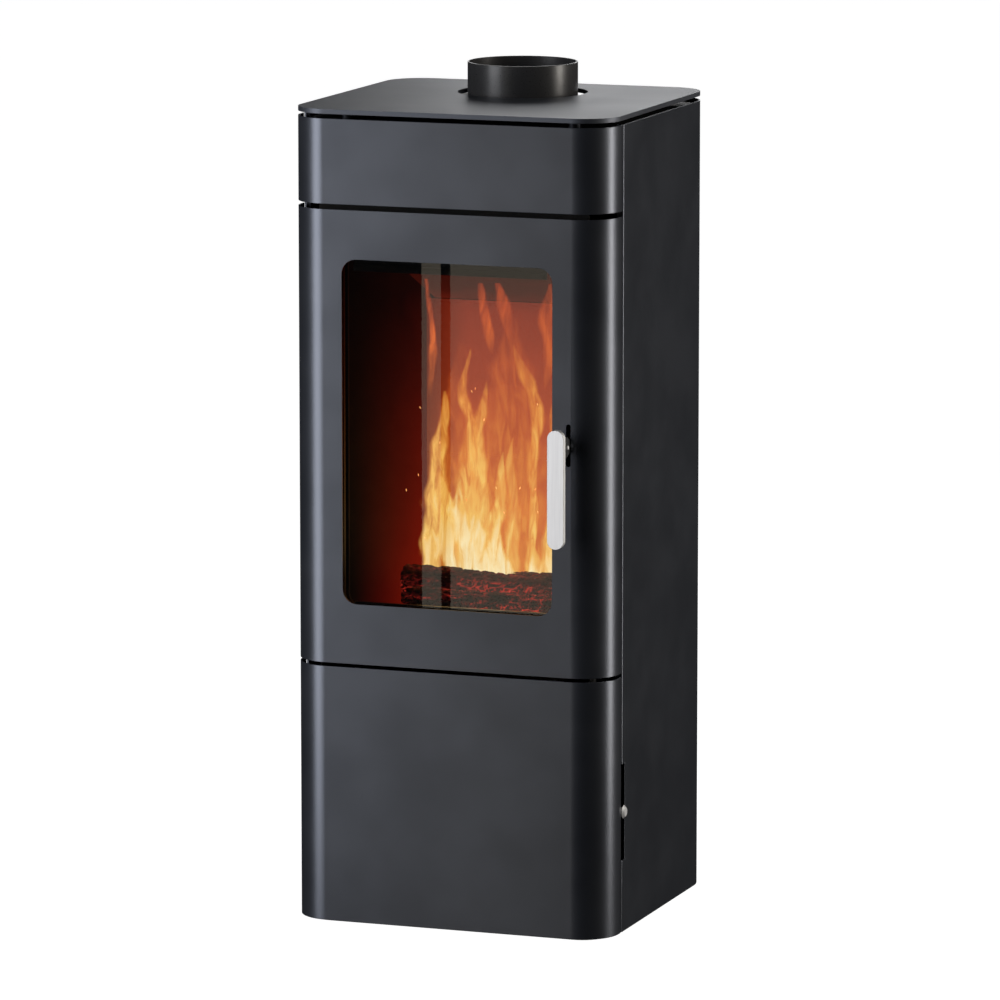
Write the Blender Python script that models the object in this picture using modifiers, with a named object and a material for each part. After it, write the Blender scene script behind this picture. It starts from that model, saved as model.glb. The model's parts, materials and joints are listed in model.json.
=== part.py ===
"""Free-standing wood burning stove: a rounded steel column with a glazed fire door and a wood compartment.

Units are metres. X runs across the stove, -Y is its front and Z is up.
The origin is the centre of the underside of the base plate.
"""
import math

import bmesh
import bpy
from mathutils import Matrix

# Overall casing
body_width = 0.452
body_depth = 0.427
corner_radius = 0.0515
skin = 0.002                    # sheet of the casing
floor_clearance = 0.003         # lower edge of the casing above the floor
lower_door_height = 0.3492
door_height = 0.6123
fascia_height = 0.1143
lower_seam = 0.005
upper_seam = 0.007
shell_return_flat = 0.0077      # flat of a front shell's return behind its rounded corner
side_seam = 0.0033              # gap between the front shells and the side panels
panel_fold = 0.010              # folded front edge of a side panel
fold_radius = 0.003
rear_lap = 0.010                # flat of a side panel behind its rear corner

# Top
top_gap = 0.006
top_plate_thickness = 0.0062
flue_from_rear = 0.1265
flue_radius = 0.075
flue_wall = 0.002
flue_rise = 0.0415              # collar above the top plate
flue_gap = 0.0135               # ring gap between the collar and the top plate
flange_width = 0.011
flange_thickness = 0.004
deck_drop = 0.006               # deck below the upper edge of the casing
foot_radius = 0.008             # feet welded under the top plate
foot_x = 0.160
foot_y = 0.158

# Base
base_thickness = 0.0025
base_inset = 0.012
bolt_radius = 0.005
bolt_head = 0.0085
bolt_head_height = 0.007
bolt_standing = 0.0075          # thread showing between the plate and the head
bolt_x = 0.172
bolt_y = 0.145

# Fire chamber
chamber_half_width = 0.151      # between the side linings
chamber_back_space = 0.0935     # face of the back lining to the rear of the casing
lining = 0.025
back_lining = 0.028
chamber_steel = 0.004
chamber_rear_space = 0.0345     # behind the chamber's back wall
hearth_height = 0.398           # top of the floor lining
lining_top = 0.925
back_lining_top = 0.806
back_seam_height = 0.595
back_seam = 0.001
dome_height = 1.020
frame_inset = 0.0032            # chamber front inside the sides of the door frame
frame_thickness = 0.005
baffle_thickness = 0.020
baffle_length = 0.195
baffle_tilt = math.radians(24)
grate_width = 0.180
grate_depth = 0.130
grate_thickness = 0.012
grate_y = -0.030
grate_slots = 7
grate_slot = 0.012

# Lower compartment
bay_sheet = 0.002
bay_inset = 0.0012              # compartment walls inside the sides of the door frame
bay_rear_space = 0.0412         # behind the compartment, to the rear of the casing
shelf_height = 0.2870
pan_half_width = 0.150
pan_front = -0.172
pan_back = 0.100
pan_height = 0.056
pan_sheet = 0.0015

# Fire door
window_width = 0.297
window_height = 0.4651
window_bottom = 0.4387
window_radius = 0.020
glass_thickness = 0.004
glass_lap = 0.012
gasket_thickness = 0.0024
door_frame_thickness = 0.006
door_frame_margin = 0.015       # door frame inside the upper and lower edges of its shell
door_frame_side = 0.0075        # door frame inside the rounded corner of its shell
seal_thickness = 0.0095
seal_width = 0.010
strip_half_width = 0.136
strip_lip = 0.009
strip_sheet = 0.0015
strip_depth = 0.0045
strip_hide = 0.0078             # top strip below the upper edge of the window
bottom_strip_rise = 0.0019      # bottom strip above the lower edge of the window
strip_overlap = 0.011           # strips behind the door frame, past the window's edge

# Hinges: one vertical axis for both doors
hinge_inset = 0.0075            # axis inside the left side of the casing
hinge_forward = 0.0107          # axis in front of the rear edges of the shells
pin_radius = 0.003
lug_radius = 0.0047
lug_thickness = 0.004
lug_clear = 0.0009              # fixed lugs inside the curve of the shells
arm_clear = 0.0018              # moving arms inside the curve of the shells
arm_reach_back = 0.0045
door_lug_heights = (0.415, 0.905)
lower_lug_heights = (0.050, 0.300)
pin_length = 0.0124

# Handle and latch
slot_x = 0.1713
slot_width = 0.0065
slot_length = 0.057
slot_height = 0.6695
bar_width = 0.023
bar_length = 0.159
bar_thickness = 0.008
bar_x = 0.1652
bar_bottom = 0.5355
bar_standoff = 0.027            # finger gap between the bar and the shell
lever_thickness = 0.005
lever_half_height = 0.0135
lever_pin_radius = 0.0025
latch_pocket_width = 0.015
latch_pocket_height = 0.080
striker_radius = 0.0025
striker_height = 0.009          # striker above the lever's axis
rivet_radius = 0.0030

# Air control
notch_bottom = 0.1016
notch_height = 0.131
notch_depth = 0.0115
knob_radius = 0.009
knob_proud = 0.0035
knob_chamfer = 0.003
knob_stem = 0.0035
knob_inset = 0.0065             # knob axis behind the front edge of the side panel
shutter_sheet = 0.002
shutter_height = 0.180
shutter_width = 0.0475
valve_depth = 0.0077
valve_width = 0.050
valve_height = 0.130
valve_bottom = 0.215
spigot_radius = 0.050
spigot_wall = 0.002
spigot_height = 0.200

# Back panel
back_sheet = 0.0015
vent_count = 9
vent_pitch = 0.030
vent_width = 0.008
vent_length = 0.050
vent_low = 0.070
vent_high = 1.030

# Fuel
bed_width = 0.250
bed_depth = 0.180
bed_thickness = 0.007
log_spread_front = 0.052        # front log in front of the grate's middle
log_spread_rear = 0.058

# Fits
gap = 0.0003                    # between pieces that touch
clearance = 0.0005              # between sheets that are set beside each other
running = 0.0003                # between a pin and its hole
arc_steps = 10                  # segments in a casing corner

# Worked out from the sizes above
half_width = body_width / 2
half_depth = body_depth / 2
shell_bottom = floor_clearance
lower_door_top = shell_bottom + lower_door_height
door_bottom = lower_door_top + lower_seam
door_top = door_bottom + door_height
fascia_bottom = door_top + upper_seam
body_top = fascia_bottom + fascia_height
plate_bottom = body_top + top_gap
plate_top = plate_bottom + top_plate_thickness
flue_top = plate_top + flue_rise
shell_return = corner_radius + shell_return_flat
shell_end = -half_depth + shell_return
bay_back = half_depth - bay_rear_space
chamber_rear = half_depth - chamber_rear_space
chamber_back = half_depth - chamber_back_space
flue_y = half_depth - flue_from_rear
panel_front = shell_end + side_seam
hinge_x = -half_width + hinge_inset
hinge_y = shell_end - hinge_forward
shell_inside = -half_depth + skin
glass_front = shell_inside + gap + gasket_thickness + gap
door_frame_front = glass_front + glass_thickness + clearance
door_frame_back = door_frame_front + door_frame_thickness
seal_back = door_frame_back + gap + seal_thickness
frame_front = seal_back + gap
frame_back = frame_front + frame_thickness
chamber_front = frame_back + gap
chamber_outer = chamber_half_width + lining + 2 * gap + chamber_steel
floor_plate_top = hearth_height - lining - gap
floor_plate_bottom = floor_plate_top - chamber_steel
knob_y = panel_front + knob_inset
frame_drop = corner_radius - half_depth - door_frame_front
frame_reach = math.sqrt((corner_radius - skin) ** 2 - frame_drop ** 2)
door_frame_half = half_width - corner_radius + frame_reach - door_frame_side
bay_half_width = door_frame_half - bay_inset
frame_half_width = door_frame_half - frame_inset
window_middle = window_bottom + window_height / 2
window_top = window_bottom + window_height
lever_y = door_frame_front + 0.0075 - 0.0004
bar_back = -half_depth - bar_standoff
knob_height = notch_bottom + notch_height / 2
valve_inner = bay_half_width + gap
valve_outer = valve_inner + valve_depth
shutter_inner = valve_outer + gap
shutter_outer = shutter_inner + shutter_sheet

for old in list(bpy.data.objects):
    bpy.data.objects.remove(old, do_unlink=True)

parts = bpy.data.collections.new("wood_stove")
cutters = bpy.data.collections.new("cutters")
bpy.context.scene.collection.children.link(parts)
bpy.context.scene.collection.children.link(cutters)


def material(name, color, roughness, metallic=0.0, alpha=1.0):
    """A plain Principled material."""
    made = bpy.data.materials.new(name)
    made.use_nodes = True
    shader = made.node_tree.nodes["Principled BSDF"]
    shader.inputs["Base Color"].default_value = (*color, 1.0)
    shader.inputs["Roughness"].default_value = roughness
    shader.inputs["Metallic"].default_value = metallic
    shader.inputs["Alpha"].default_value = alpha
    return made


casing_paint = material("casing_paint", (0.085, 0.092, 0.106), 0.42, 0.1)
black_paint = material("black_paint", (0.012, 0.012, 0.013), 0.55, 0.1)
bare_steel = material("bare_steel", (0.62, 0.62, 0.61), 0.32, 1.0)
galvanised = material("galvanised", (0.42, 0.44, 0.45), 0.45, 1.0)
iron = material("iron", (0.05, 0.048, 0.046), 0.7, 0.6)
board = material("board", (0.42, 0.33, 0.24), 0.9)
rope = material("rope", (0.10, 0.10, 0.10), 0.95)
pane = material("pane", (0.75, 0.78, 0.78), 0.03, 0.0, 0.3)
charred = material("charred", (0.035, 0.025, 0.02), 0.95)
ash = material("ash", (0.30, 0.28, 0.26), 0.95)
magnet = material("magnet", (0.06, 0.06, 0.06), 0.5)


def name_piece(obj, name, finish, parent=None):
    """Names a finished piece, gives it its material and hangs it on its joint's empty."""
    obj.name = name
    obj.data.name = name
    obj.data.materials.clear()
    obj.data.materials.append(finish)
    for collection in list(obj.users_collection):
        collection.objects.unlink(obj)
    parts.objects.link(obj)
    if parent:
        bpy.context.view_layer.update()
        obj.parent = parent
        obj.matrix_parent_inverse = parent.matrix_world.inverted()
    return obj


def as_cutter(obj):
    """Turns an object into a hidden cutter."""
    for collection in list(obj.users_collection):
        collection.objects.unlink(obj)
    cutters.objects.link(obj)
    obj.hide_render = True
    obj.display_type = "WIRE"
    return obj


def cut(target, cutter, operation="DIFFERENCE"):
    """Cuts a cutter out of a piece, or joins it on."""
    modifier = target.modifiers.new(operation.lower(), "BOOLEAN")
    modifier.operation = operation
    modifier.solver = "EXACT"
    modifier.object = as_cutter(cutter)


def bevel(obj, width, segments=2):
    """Rounds the sharp edges of a piece."""
    modifier = obj.modifiers.new("edges", "BEVEL")
    modifier.width = width
    modifier.segments = segments
    modifier.limit_method = "ANGLE"
    modifier.angle_limit = math.radians(40)


def block(low, high):
    """A box between two corners."""
    bpy.ops.mesh.primitive_cube_add(size=1.0)
    obj = bpy.context.object
    obj.location = [(a + b) / 2 for a, b in zip(low, high)]
    scale = Matrix.Diagonal([b - a for a, b in zip(low, high)]).to_4x4()
    obj.data.transform(scale)
    return obj


def rod(radius, length, centre, axis="Z", sides=24):
    """A cylinder about a main axis, centred on a point."""
    turn = {"X": (0, math.pi / 2, 0), "Y": (math.pi / 2, 0, 0), "Z": (0, 0, 0)}[axis]
    bpy.ops.mesh.primitive_cylinder_add(vertices=sides, radius=radius, depth=length)
    obj = bpy.context.object
    obj.location = centre
    obj.rotation_euler = turn
    return obj


def arc(centre_u, centre_v, radius, start, end, steps=arc_steps):
    """Points along an arc, angles in degrees."""
    angles = [math.radians(start + (end - start) * i / steps) for i in range(steps + 1)]
    return [(centre_u + radius * math.cos(a), centre_v + radius * math.sin(a)) for a in angles]


def rounded_rectangle(centre_u, centre_v, width, height, radius, steps=arc_steps):
    """Outline of a rectangle with round corners."""
    u = width / 2 - radius
    v = height / 2 - radius
    outline = []
    for index, (side_u, side_v) in enumerate(((1, 1), (-1, 1), (-1, -1), (1, -1))):
        corner = (centre_u + side_u * u, centre_v + side_v * v)
        outline += arc(*corner, radius, 90 * index, 90 * index + 90, steps)
    return outline


def circle(centre_u, centre_v, radius, steps=48):
    """Outline of a circle."""
    return arc(centre_u, centre_v, radius, 0, 360, steps)[:-1]


def slot(centre_u, centre_v, width, length, steps=6):
    """Outline of an upright slot with round ends."""
    radius = width / 2
    straight = length / 2 - radius
    upper = arc(centre_u, centre_v + straight, radius, 0, 180, steps)
    lower = arc(centre_u, centre_v - straight, radius, 180, 360, steps)
    return upper + lower


planes = {
    "XY": Matrix.Identity(4),
    "XZ": Matrix.Rotation(math.pi / 2, 4, "X"),
    "YZ": Matrix(((0, 0, 1, 0), (1, 0, 0, 0), (0, 1, 0, 0), (0, 0, 0, 1))),
}


def flat(loops, low, high, plane):
    """A flat piece from its outline and holes, between two levels of the plane's third axis."""
    curve = bpy.data.curves.new("outline", "CURVE")
    curve.dimensions = "2D"
    curve.fill_mode = "BOTH"
    curve.extrude = (high - low) / 2
    for loop in loops:
        spline = curve.splines.new("POLY")
        spline.points.add(len(loop) - 1)
        spline.use_cyclic_u = True
        for point, (u, v) in zip(spline.points, loop):
            point.co = (u, v, 0, 1)
    outline = bpy.data.objects.new("outline", curve)
    bpy.context.scene.collection.objects.link(outline)
    bpy.context.view_layer.update()
    evaluated = outline.evaluated_get(bpy.context.evaluated_depsgraph_get())
    mesh = bpy.data.meshes.new_from_object(evaluated)
    bpy.data.objects.remove(outline)
    shape = bmesh.new()
    shape.from_mesh(mesh)
    bmesh.ops.remove_doubles(shape, verts=shape.verts, dist=1e-6)
    bmesh.ops.recalc_face_normals(shape, faces=shape.faces)
    shape.to_mesh(mesh)
    shape.free()
    middle = (low + high) / 2
    lift = {"XY": (0, 0, middle), "XZ": (0, middle, 0), "YZ": (middle, 0, 0)}[plane]
    obj = bpy.data.objects.new("flat", mesh)
    obj.matrix_world = Matrix.Translation(lift) @ planes[plane]
    bpy.context.scene.collection.objects.link(obj)
    return obj


def sheet(path, bottom, top, thickness):
    """An upright sheet along a path; its outer face is on the path's right-hand side."""
    shape = bmesh.new()
    lower = [shape.verts.new((x, y, bottom)) for x, y in path]
    upper = [shape.verts.new((x, y, top)) for x, y in path]
    for i in range(len(path) - 1):
        shape.faces.new((lower[i], lower[i + 1], upper[i + 1], upper[i]))
    mesh = bpy.data.meshes.new("sheet")
    shape.to_mesh(mesh)
    shape.free()
    obj = bpy.data.objects.new("sheet", mesh)
    bpy.context.scene.collection.objects.link(obj)
    solid = obj.modifiers.new("wall", "SOLIDIFY")
    solid.thickness = thickness
    solid.offset = -1
    solid.use_even_offset = True
    return obj


def turned(profile, closed=False, steps=48):
    """A piece turned about Z from (radius, height) points that run down its outer side."""
    mesh = bpy.data.meshes.new("turned")
    edges = [(i, i + 1) for i in range(len(profile) - 1)]
    if closed:
        edges.append((len(profile) - 1, 0))
    mesh.from_pydata([(r, 0, z) for r, z in profile], edges, [])
    obj = bpy.data.objects.new("turned", mesh)
    bpy.context.scene.collection.objects.link(obj)
    screw = obj.modifiers.new("turn", "SCREW")
    screw.steps = steps
    screw.render_steps = steps
    screw.use_merge_vertices = True
    screw.merge_threshold = 1e-5
    return obj


def joint_empty(name, place):
    """An empty on a joint's axis."""
    empty = bpy.data.objects.new(name, None)
    empty.location = place
    parts.objects.link(empty)
    bpy.context.view_layer.update()
    return empty


door_axis = joint_empty("door_axis", (hinge_x, hinge_y, window_middle))
lower_door_axis = joint_empty("lower_door_axis", (hinge_x, hinge_y, lower_door_height / 2))
handle_axis = joint_empty("handle_axis", (slot_x, lever_y, slot_height))
handle_axis.parent = door_axis
handle_axis.matrix_parent_inverse = door_axis.matrix_world.inverted()
air_axis = joint_empty("air_axis", (half_width, knob_y, knob_height))
bpy.context.view_layer.update()


def front_path():
    """Outer line of a front shell, from its left return to its right one."""
    u = half_width - corner_radius
    v = -half_depth + corner_radius
    left = arc(-u, v, corner_radius, 180, 270)
    right = arc(u, v, corner_radius, 270, 360)
    return [(-half_width, shell_end)] + left + right + [(half_width, shell_end)]


def side_path(side):
    """Outer line of a side panel: folded front edge, side, rear corner and rear lap."""
    u = half_width - corner_radius
    v = half_depth - corner_radius
    fold = arc(half_width - fold_radius, panel_front + fold_radius, fold_radius, 270, 360, 4)
    path = [(half_width - panel_fold, panel_front)] + fold
    path += arc(u, v, corner_radius, 0, 90) + [(u - rear_lap, half_depth)]
    if side < 0:
        path = [(-x, y) for x, y in reversed(path)]
    return path


def make_base():
    outline = rounded_rectangle(
        0, 0, body_width - 2 * base_inset, body_depth - 2 * base_inset, corner_radius - base_inset)
    places = [(sx * bolt_x, sy * bolt_y) for sx in (-1, 1) for sy in (-1, 1)]
    holes = [circle(x, y, bolt_radius + running, 24) for x, y in places]
    name_piece(flat([outline] + holes, 0, base_thickness, "XY"), "base_plate", black_paint)
    shank_top = base_thickness + bolt_standing
    for index, (x, y) in enumerate(places):
        bolt = rod(bolt_radius, shank_top + 0.001, (x, y, (shank_top + 0.001) / 2))
        head = rod(bolt_head, bolt_head_height, (x, y, shank_top + bolt_head_height / 2), sides=6)
        cut(bolt, head, "UNION")
        name_piece(bolt, f"levelling_bolt_{index + 1}", galvanised)


def make_side_panels():
    for side, name in ((-1, "side_panel_left"), (1, "side_panel_right")):
        panel = sheet(side_path(side), shell_bottom, body_top, skin)
        if side > 0:
            low = (half_width - 2 * panel_fold, panel_front - skin, notch_bottom)
            high = (half_width + skin, panel_front + notch_depth, notch_bottom + notch_height)
            cut(panel, block(low, high))
        name_piece(panel, name, casing_paint)


def make_back_panel():
    edge = half_width - corner_radius - skin
    height = body_top - 2 * deck_drop - shell_bottom
    middle = shell_bottom + deck_drop / 2 + height / 2
    loops = [rounded_rectangle(0, middle, 2 * edge, height, 0.002, 3)]
    loops.append(circle(0, spigot_height, spigot_radius + 0.001))
    for row in (vent_low, vent_high):
        for index in range(vent_count):
            loops.append(slot((index - (vent_count - 1) / 2) * vent_pitch, row, vent_width, vent_length))
    back = half_depth - skin - clearance
    name_piece(flat(loops, back - back_sheet, back, "XZ"), "back_panel", galvanised)
    start = bay_back + gap
    end = half_depth - skin
    profile = [(spigot_radius, end), (spigot_radius, start),
               (spigot_radius - spigot_wall, start), (spigot_radius - spigot_wall, end)]
    spigot = turned(profile, closed=True)
    spigot.rotation_euler = (-math.pi / 2, 0, 0)
    spigot.location = (0, 0, spigot_height)
    name_piece(spigot, "air_intake_spigot", galvanised)


def make_top():
    fascia = sheet(front_path(), fascia_bottom, body_top, skin)
    name_piece(fascia, "fascia", casing_paint)
    deck_top = body_top - deck_drop
    front = shell_inside + clearance
    rear = half_depth - skin - back_sheet - 2 * clearance
    deck_half = half_width - panel_fold - clearance
    outline = rounded_rectangle(
        0, (front + rear) / 2, 2 * deck_half, rear - front, corner_radius - 0.0065)
    hole = circle(0, flue_y, flue_radius + flue_gap)
    deck = flat([outline, hole], deck_top - skin, deck_top, "XY")
    name_piece(deck, "top_deck", black_paint)
    outline = rounded_rectangle(0, 0, body_width, body_depth, corner_radius)
    plate = flat([outline, circle(0, flue_y, flue_radius + flue_gap)], plate_bottom, plate_top, "XY")
    for sx, sy in ((-1, -1), (1, -1), (-1, 1), (1, 1)):
        low = deck_top + gap
        high = (plate_bottom + plate_top) / 2
        cut(plate, rod(foot_radius, high - low, (sx * foot_x, sy * foot_y, (low + high) / 2)), "UNION")
    bevel(plate, 0.0008, 1)
    name_piece(plate, "top_plate", casing_paint)
    bottom = dome_height + gap + chamber_steel + gap
    inner = flue_radius - flue_wall
    profile = [
        (flue_radius - 0.0004, flue_top), (flue_radius, flue_top - 0.0006),
        (flue_radius, bottom + flange_thickness),
        (flue_radius + flange_width, bottom + flange_thickness), (flue_radius + flange_width, bottom),
        (inner, bottom), (inner, flue_top),
    ]
    collar = turned(profile, closed=True, steps=64)
    collar.location = (0, flue_y, 0)
    name_piece(collar, "flue_collar", black_paint)


def make_chamber():
    opening_width = window_width + 0.001
    wrap = [(chamber_outer, chamber_front), (chamber_outer, chamber_rear)]
    wrap += [(-chamber_outer, chamber_rear), (-chamber_outer, chamber_front)]
    shell = sheet(wrap, floor_plate_top + gap, dome_height, chamber_steel)
    name_piece(shell, "chamber_wrap", black_paint)
    middle = (chamber_front + chamber_rear) / 2
    plate_depth = chamber_rear - chamber_front
    outline = rounded_rectangle(0, middle, 2 * bay_half_width, plate_depth, 0.002, 2)
    hole = rounded_rectangle(0, grate_y, grate_width - 0.010, grate_depth - 0.010, 0.004, 2)
    floor = flat([outline, hole], floor_plate_bottom, floor_plate_top, "XY")
    name_piece(floor, "chamber_floor", black_paint)
    outline = rounded_rectangle(0, middle, 2 * chamber_outer, plate_depth, 0.002, 2)
    hole = circle(0, flue_y, flue_radius - flue_wall)
    low = dome_height + gap
    name_piece(flat([outline, hole], low, low + chamber_steel, "XY"), "chamber_top", black_paint)
    low = floor_plate_top + gap
    height = dome_height - low
    outline = rounded_rectangle(0, low + height / 2, 2 * frame_half_width, height, 0.002, 2)
    opening_bottom = window_bottom - 0.0052
    opening_top = window_top + 0.003
    hole = rounded_rectangle(
        0, (opening_bottom + opening_top) / 2, opening_width, opening_top - opening_bottom, 0.015, 6)
    frame = flat([outline, hole], frame_front, frame_back, "XZ")
    name_piece(frame, "chamber_front", black_paint)


def make_linings():
    low = floor_plate_top + gap
    inner = chamber_half_width
    outer = inner + lining
    front = chamber_front + clearance
    for side, name in ((-1, "lining_left"), (1, "lining_right")):
        xs = sorted((side * inner, side * outer))
        brick = block((xs[0], front, low), (xs[1], chamber_back - gap, lining_top))
        name_piece(brick, name, board)
    back = chamber_back + back_lining
    seam = back_seam_height
    lower = block((-outer, chamber_back, low), (outer, back, seam - back_seam / 2))
    name_piece(lower, "lining_back_lower", board)
    upper = block((-outer, chamber_back, seam + back_seam / 2), (outer, back, back_lining_top))
    name_piece(upper, "lining_back_upper", board)
    middle = (front + chamber_back - gap) / 2
    outline = rounded_rectangle(0, middle, 2 * (inner - gap), chamber_back - gap - front, 0.001, 2)
    hole = rounded_rectangle(0, grate_y, grate_width + 0.001, grate_depth + 0.001, 0.006, 4)
    name_piece(flat([outline, hole], low, hearth_height, "XY"), "lining_floor", board)
    loops = [rounded_rectangle(0, grate_y, grate_width, grate_depth, 0.0055, 4)]
    for index in range(grate_slots):
        x = (index - (grate_slots - 1) / 2) * 2 * grate_slot
        loops.append(slot(x, grate_y, grate_slot, grate_depth - 0.030))
    name_piece(flat(loops, low, low + grate_thickness, "XY"), "grate", iron)
    rise = baffle_length / 2 * math.sin(baffle_tilt)
    reach = baffle_length / 2 * math.cos(baffle_tilt)
    half = baffle_thickness / 2
    baffle = block((-inner + 0.001, -baffle_length / 2, -half), (inner - 0.001, baffle_length / 2, half))
    baffle.rotation_euler = (-baffle_tilt, 0, 0)
    foot = half * math.cos(baffle_tilt)
    edge = half * math.sin(baffle_tilt)
    baffle.location = (0, chamber_back + back_lining - reach + edge, back_lining_top + gap + rise + foot)
    name_piece(baffle, "baffle", board)


def make_lower_bay():
    low = base_thickness + gap
    high = floor_plate_bottom - gap
    wrap = [(bay_half_width, chamber_front), (bay_half_width, bay_back)]
    wrap += [(-bay_half_width, bay_back), (-bay_half_width, chamber_front)]
    name_piece(sheet(wrap, low, high, bay_sheet), "bay_wrap", black_paint)
    inner = bay_half_width - bay_sheet - gap
    shelf = block(
        (-inner, chamber_front, shelf_height - bay_sheet),
        (inner, bay_back - bay_sheet - gap, shelf_height))
    name_piece(shelf, "ash_shelf", black_paint)
    bottom = shelf_height + gap
    pan = block((-pan_half_width, pan_front, bottom), (pan_half_width, pan_back, bottom + pan_height))
    wall = pan_sheet
    hollow = block(
        (-pan_half_width + wall, pan_front + wall, bottom + wall),
        (pan_half_width - wall, pan_back - wall, bottom + 2 * pan_height))
    cut(pan, hollow)
    name_piece(pan, "ash_pan", galvanised)


def curve_edge(y, clear):
    """Left limit at depth y for a piece that keeps clear of a shell's rounded corner."""
    reach = corner_radius - skin - clear
    drop = corner_radius - half_depth - y
    return corner_radius - half_width - math.sqrt(reach * reach - drop * drop)


def lug_outline():
    """Fixed hinge lug seen from above: a round eye on the axis with an arm to the right."""
    end_x = -chamber_outer - gap
    eye = arc(hinge_x, hinge_y, lug_radius, 90, 270, 8)
    right_low = (end_x, chamber_front)
    right_high = (end_x, hinge_y + 0.0028)
    start = [(hinge_x + 0.004, hinge_y + 0.0028)]
    left_low = (curve_edge(chamber_front, lug_clear), chamber_front)
    return eye[1:] + [left_low, right_low, right_high] + start


def arm_outline(edge):
    """Moving hinge arm seen from above, from the door's structure to the axis."""
    back = hinge_y + arm_reach_back
    left = hinge_x - lug_radius
    eye = arc(left + 0.004, back - 0.004, 0.004, 90, 180, 4)
    nose = curve_edge(door_frame_front, arm_clear)
    waist = hinge_y - arm_reach_back
    return [(edge, door_frame_front), (edge, back)] + eye + [(left, waist), (nose, door_frame_front)]


def make_hinges(prefix, heights, axis, lug_end):
    for index, height in enumerate(heights):
        outline = [(min(x, lug_end), y) for x, y in lug_outline()]
        hole = circle(hinge_x, hinge_y, pin_radius + running, 24)
        lug = flat([outline, hole], height, height + lug_thickness, "XY")
        name_piece(lug, f"{prefix}_hinge_lug_{index + 1}", black_paint)
        low = height + lug_thickness + 0.0004
        arm = flat([arm_outline(-door_frame_half - gap)], low, low + lug_thickness, "XY")
        pin = rod(pin_radius, pin_length, (hinge_x, hinge_y, low + 0.002 - pin_length / 2))
        cut(arm, pin, "UNION")
        name_piece(arm, f"{prefix}_hinge_arm_{index + 1}", black_paint, axis)


def make_door():
    shell = sheet(front_path(), door_bottom, door_top, skin)
    outline = rounded_rectangle(0, window_middle, window_width, window_height, window_radius, 8)
    cut(shell, flat([outline], -half_depth - skin, shell_inside + skin, "XZ"))
    outline = slot(slot_x, slot_height, slot_width, slot_length, 8)
    cut(shell, flat([outline], -half_depth - skin, shell_inside + skin, "XZ"))
    name_piece(shell, "door_shell", casing_paint, door_axis)
    wide = window_width + 2 * glass_lap
    tall = window_height + 2 * glass_lap
    outline = rounded_rectangle(0, window_middle, wide, tall, 0.012, 4)
    hole = rounded_rectangle(0, window_middle, window_width + 0.002, window_height + 0.002, 0.0205, 6)
    gasket = flat([outline, hole], shell_inside + gap, shell_inside + gap + gasket_thickness, "XZ")
    name_piece(gasket, "glass_gasket", rope, door_axis)
    glass = flat([outline], glass_front, glass_front + glass_thickness, "XZ")
    name_piece(glass, "door_glass", pane, door_axis)
    low = door_bottom + door_frame_margin
    high = door_top - door_frame_margin
    outline = rounded_rectangle(0, (low + high) / 2, 2 * door_frame_half, high - low, 0.004, 3)
    hole = rounded_rectangle(0, window_middle, window_width + 0.001, window_height + 0.001, 0.012, 6)
    pocket = rounded_rectangle(slot_x, slot_height, latch_pocket_width, latch_pocket_height, 0.002, 2)
    frame = flat([outline, hole, pocket], door_frame_front, door_frame_back, "XZ")
    name_piece(frame, "door_frame", black_paint, door_axis)
    seal_inner_width = window_width + 0.008
    seal_inner_height = window_height + 2 * strip_overlap + 0.004
    outline = rounded_rectangle(
        0, window_middle, seal_inner_width + 2 * seal_width, seal_inner_height + 2 * seal_width, 0.020, 5)
    hole = rounded_rectangle(0, window_middle, seal_inner_width, seal_inner_height, 0.010, 5)
    seal = flat([outline, hole], door_frame_back + gap, seal_back, "XZ")
    name_piece(seal, "door_rope_seal", rope, door_axis)


def strip_outline(edge, lip, riser, direction):
    """Section of a glass strip: a lip in front, a short shelf and a riser behind the door frame."""
    riser_front = door_frame_back + gap
    riser_back = riser_front + strip_sheet
    lip_front = riser_front - strip_depth + strip_sheet
    lip_back = lip_front + strip_sheet
    steps = [
        (lip_front, 0), (riser_back, 0), (riser_back, riser), (riser_front, riser),
        (riser_front, strip_sheet), (lip_back, strip_sheet), (lip_back, lip), (lip_front, lip),
    ]
    return [(y, edge + direction * z) for y, z in steps]


def make_glass_strips():
    below = strip_hide + strip_lip
    top = strip_outline(window_top - below, strip_lip, below + strip_overlap, 1)
    strip = flat([top], -strip_half_width, strip_half_width, "YZ")
    name_piece(strip, "glass_strip_top", casing_paint, door_axis)
    rise = bottom_strip_rise
    bottom = strip_outline(window_bottom + rise, rise, rise + strip_overlap, -1)
    strip = flat([bottom], -strip_half_width, strip_half_width, "YZ")
    name_piece(strip, "glass_strip_bottom", casing_paint, door_axis)


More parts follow.
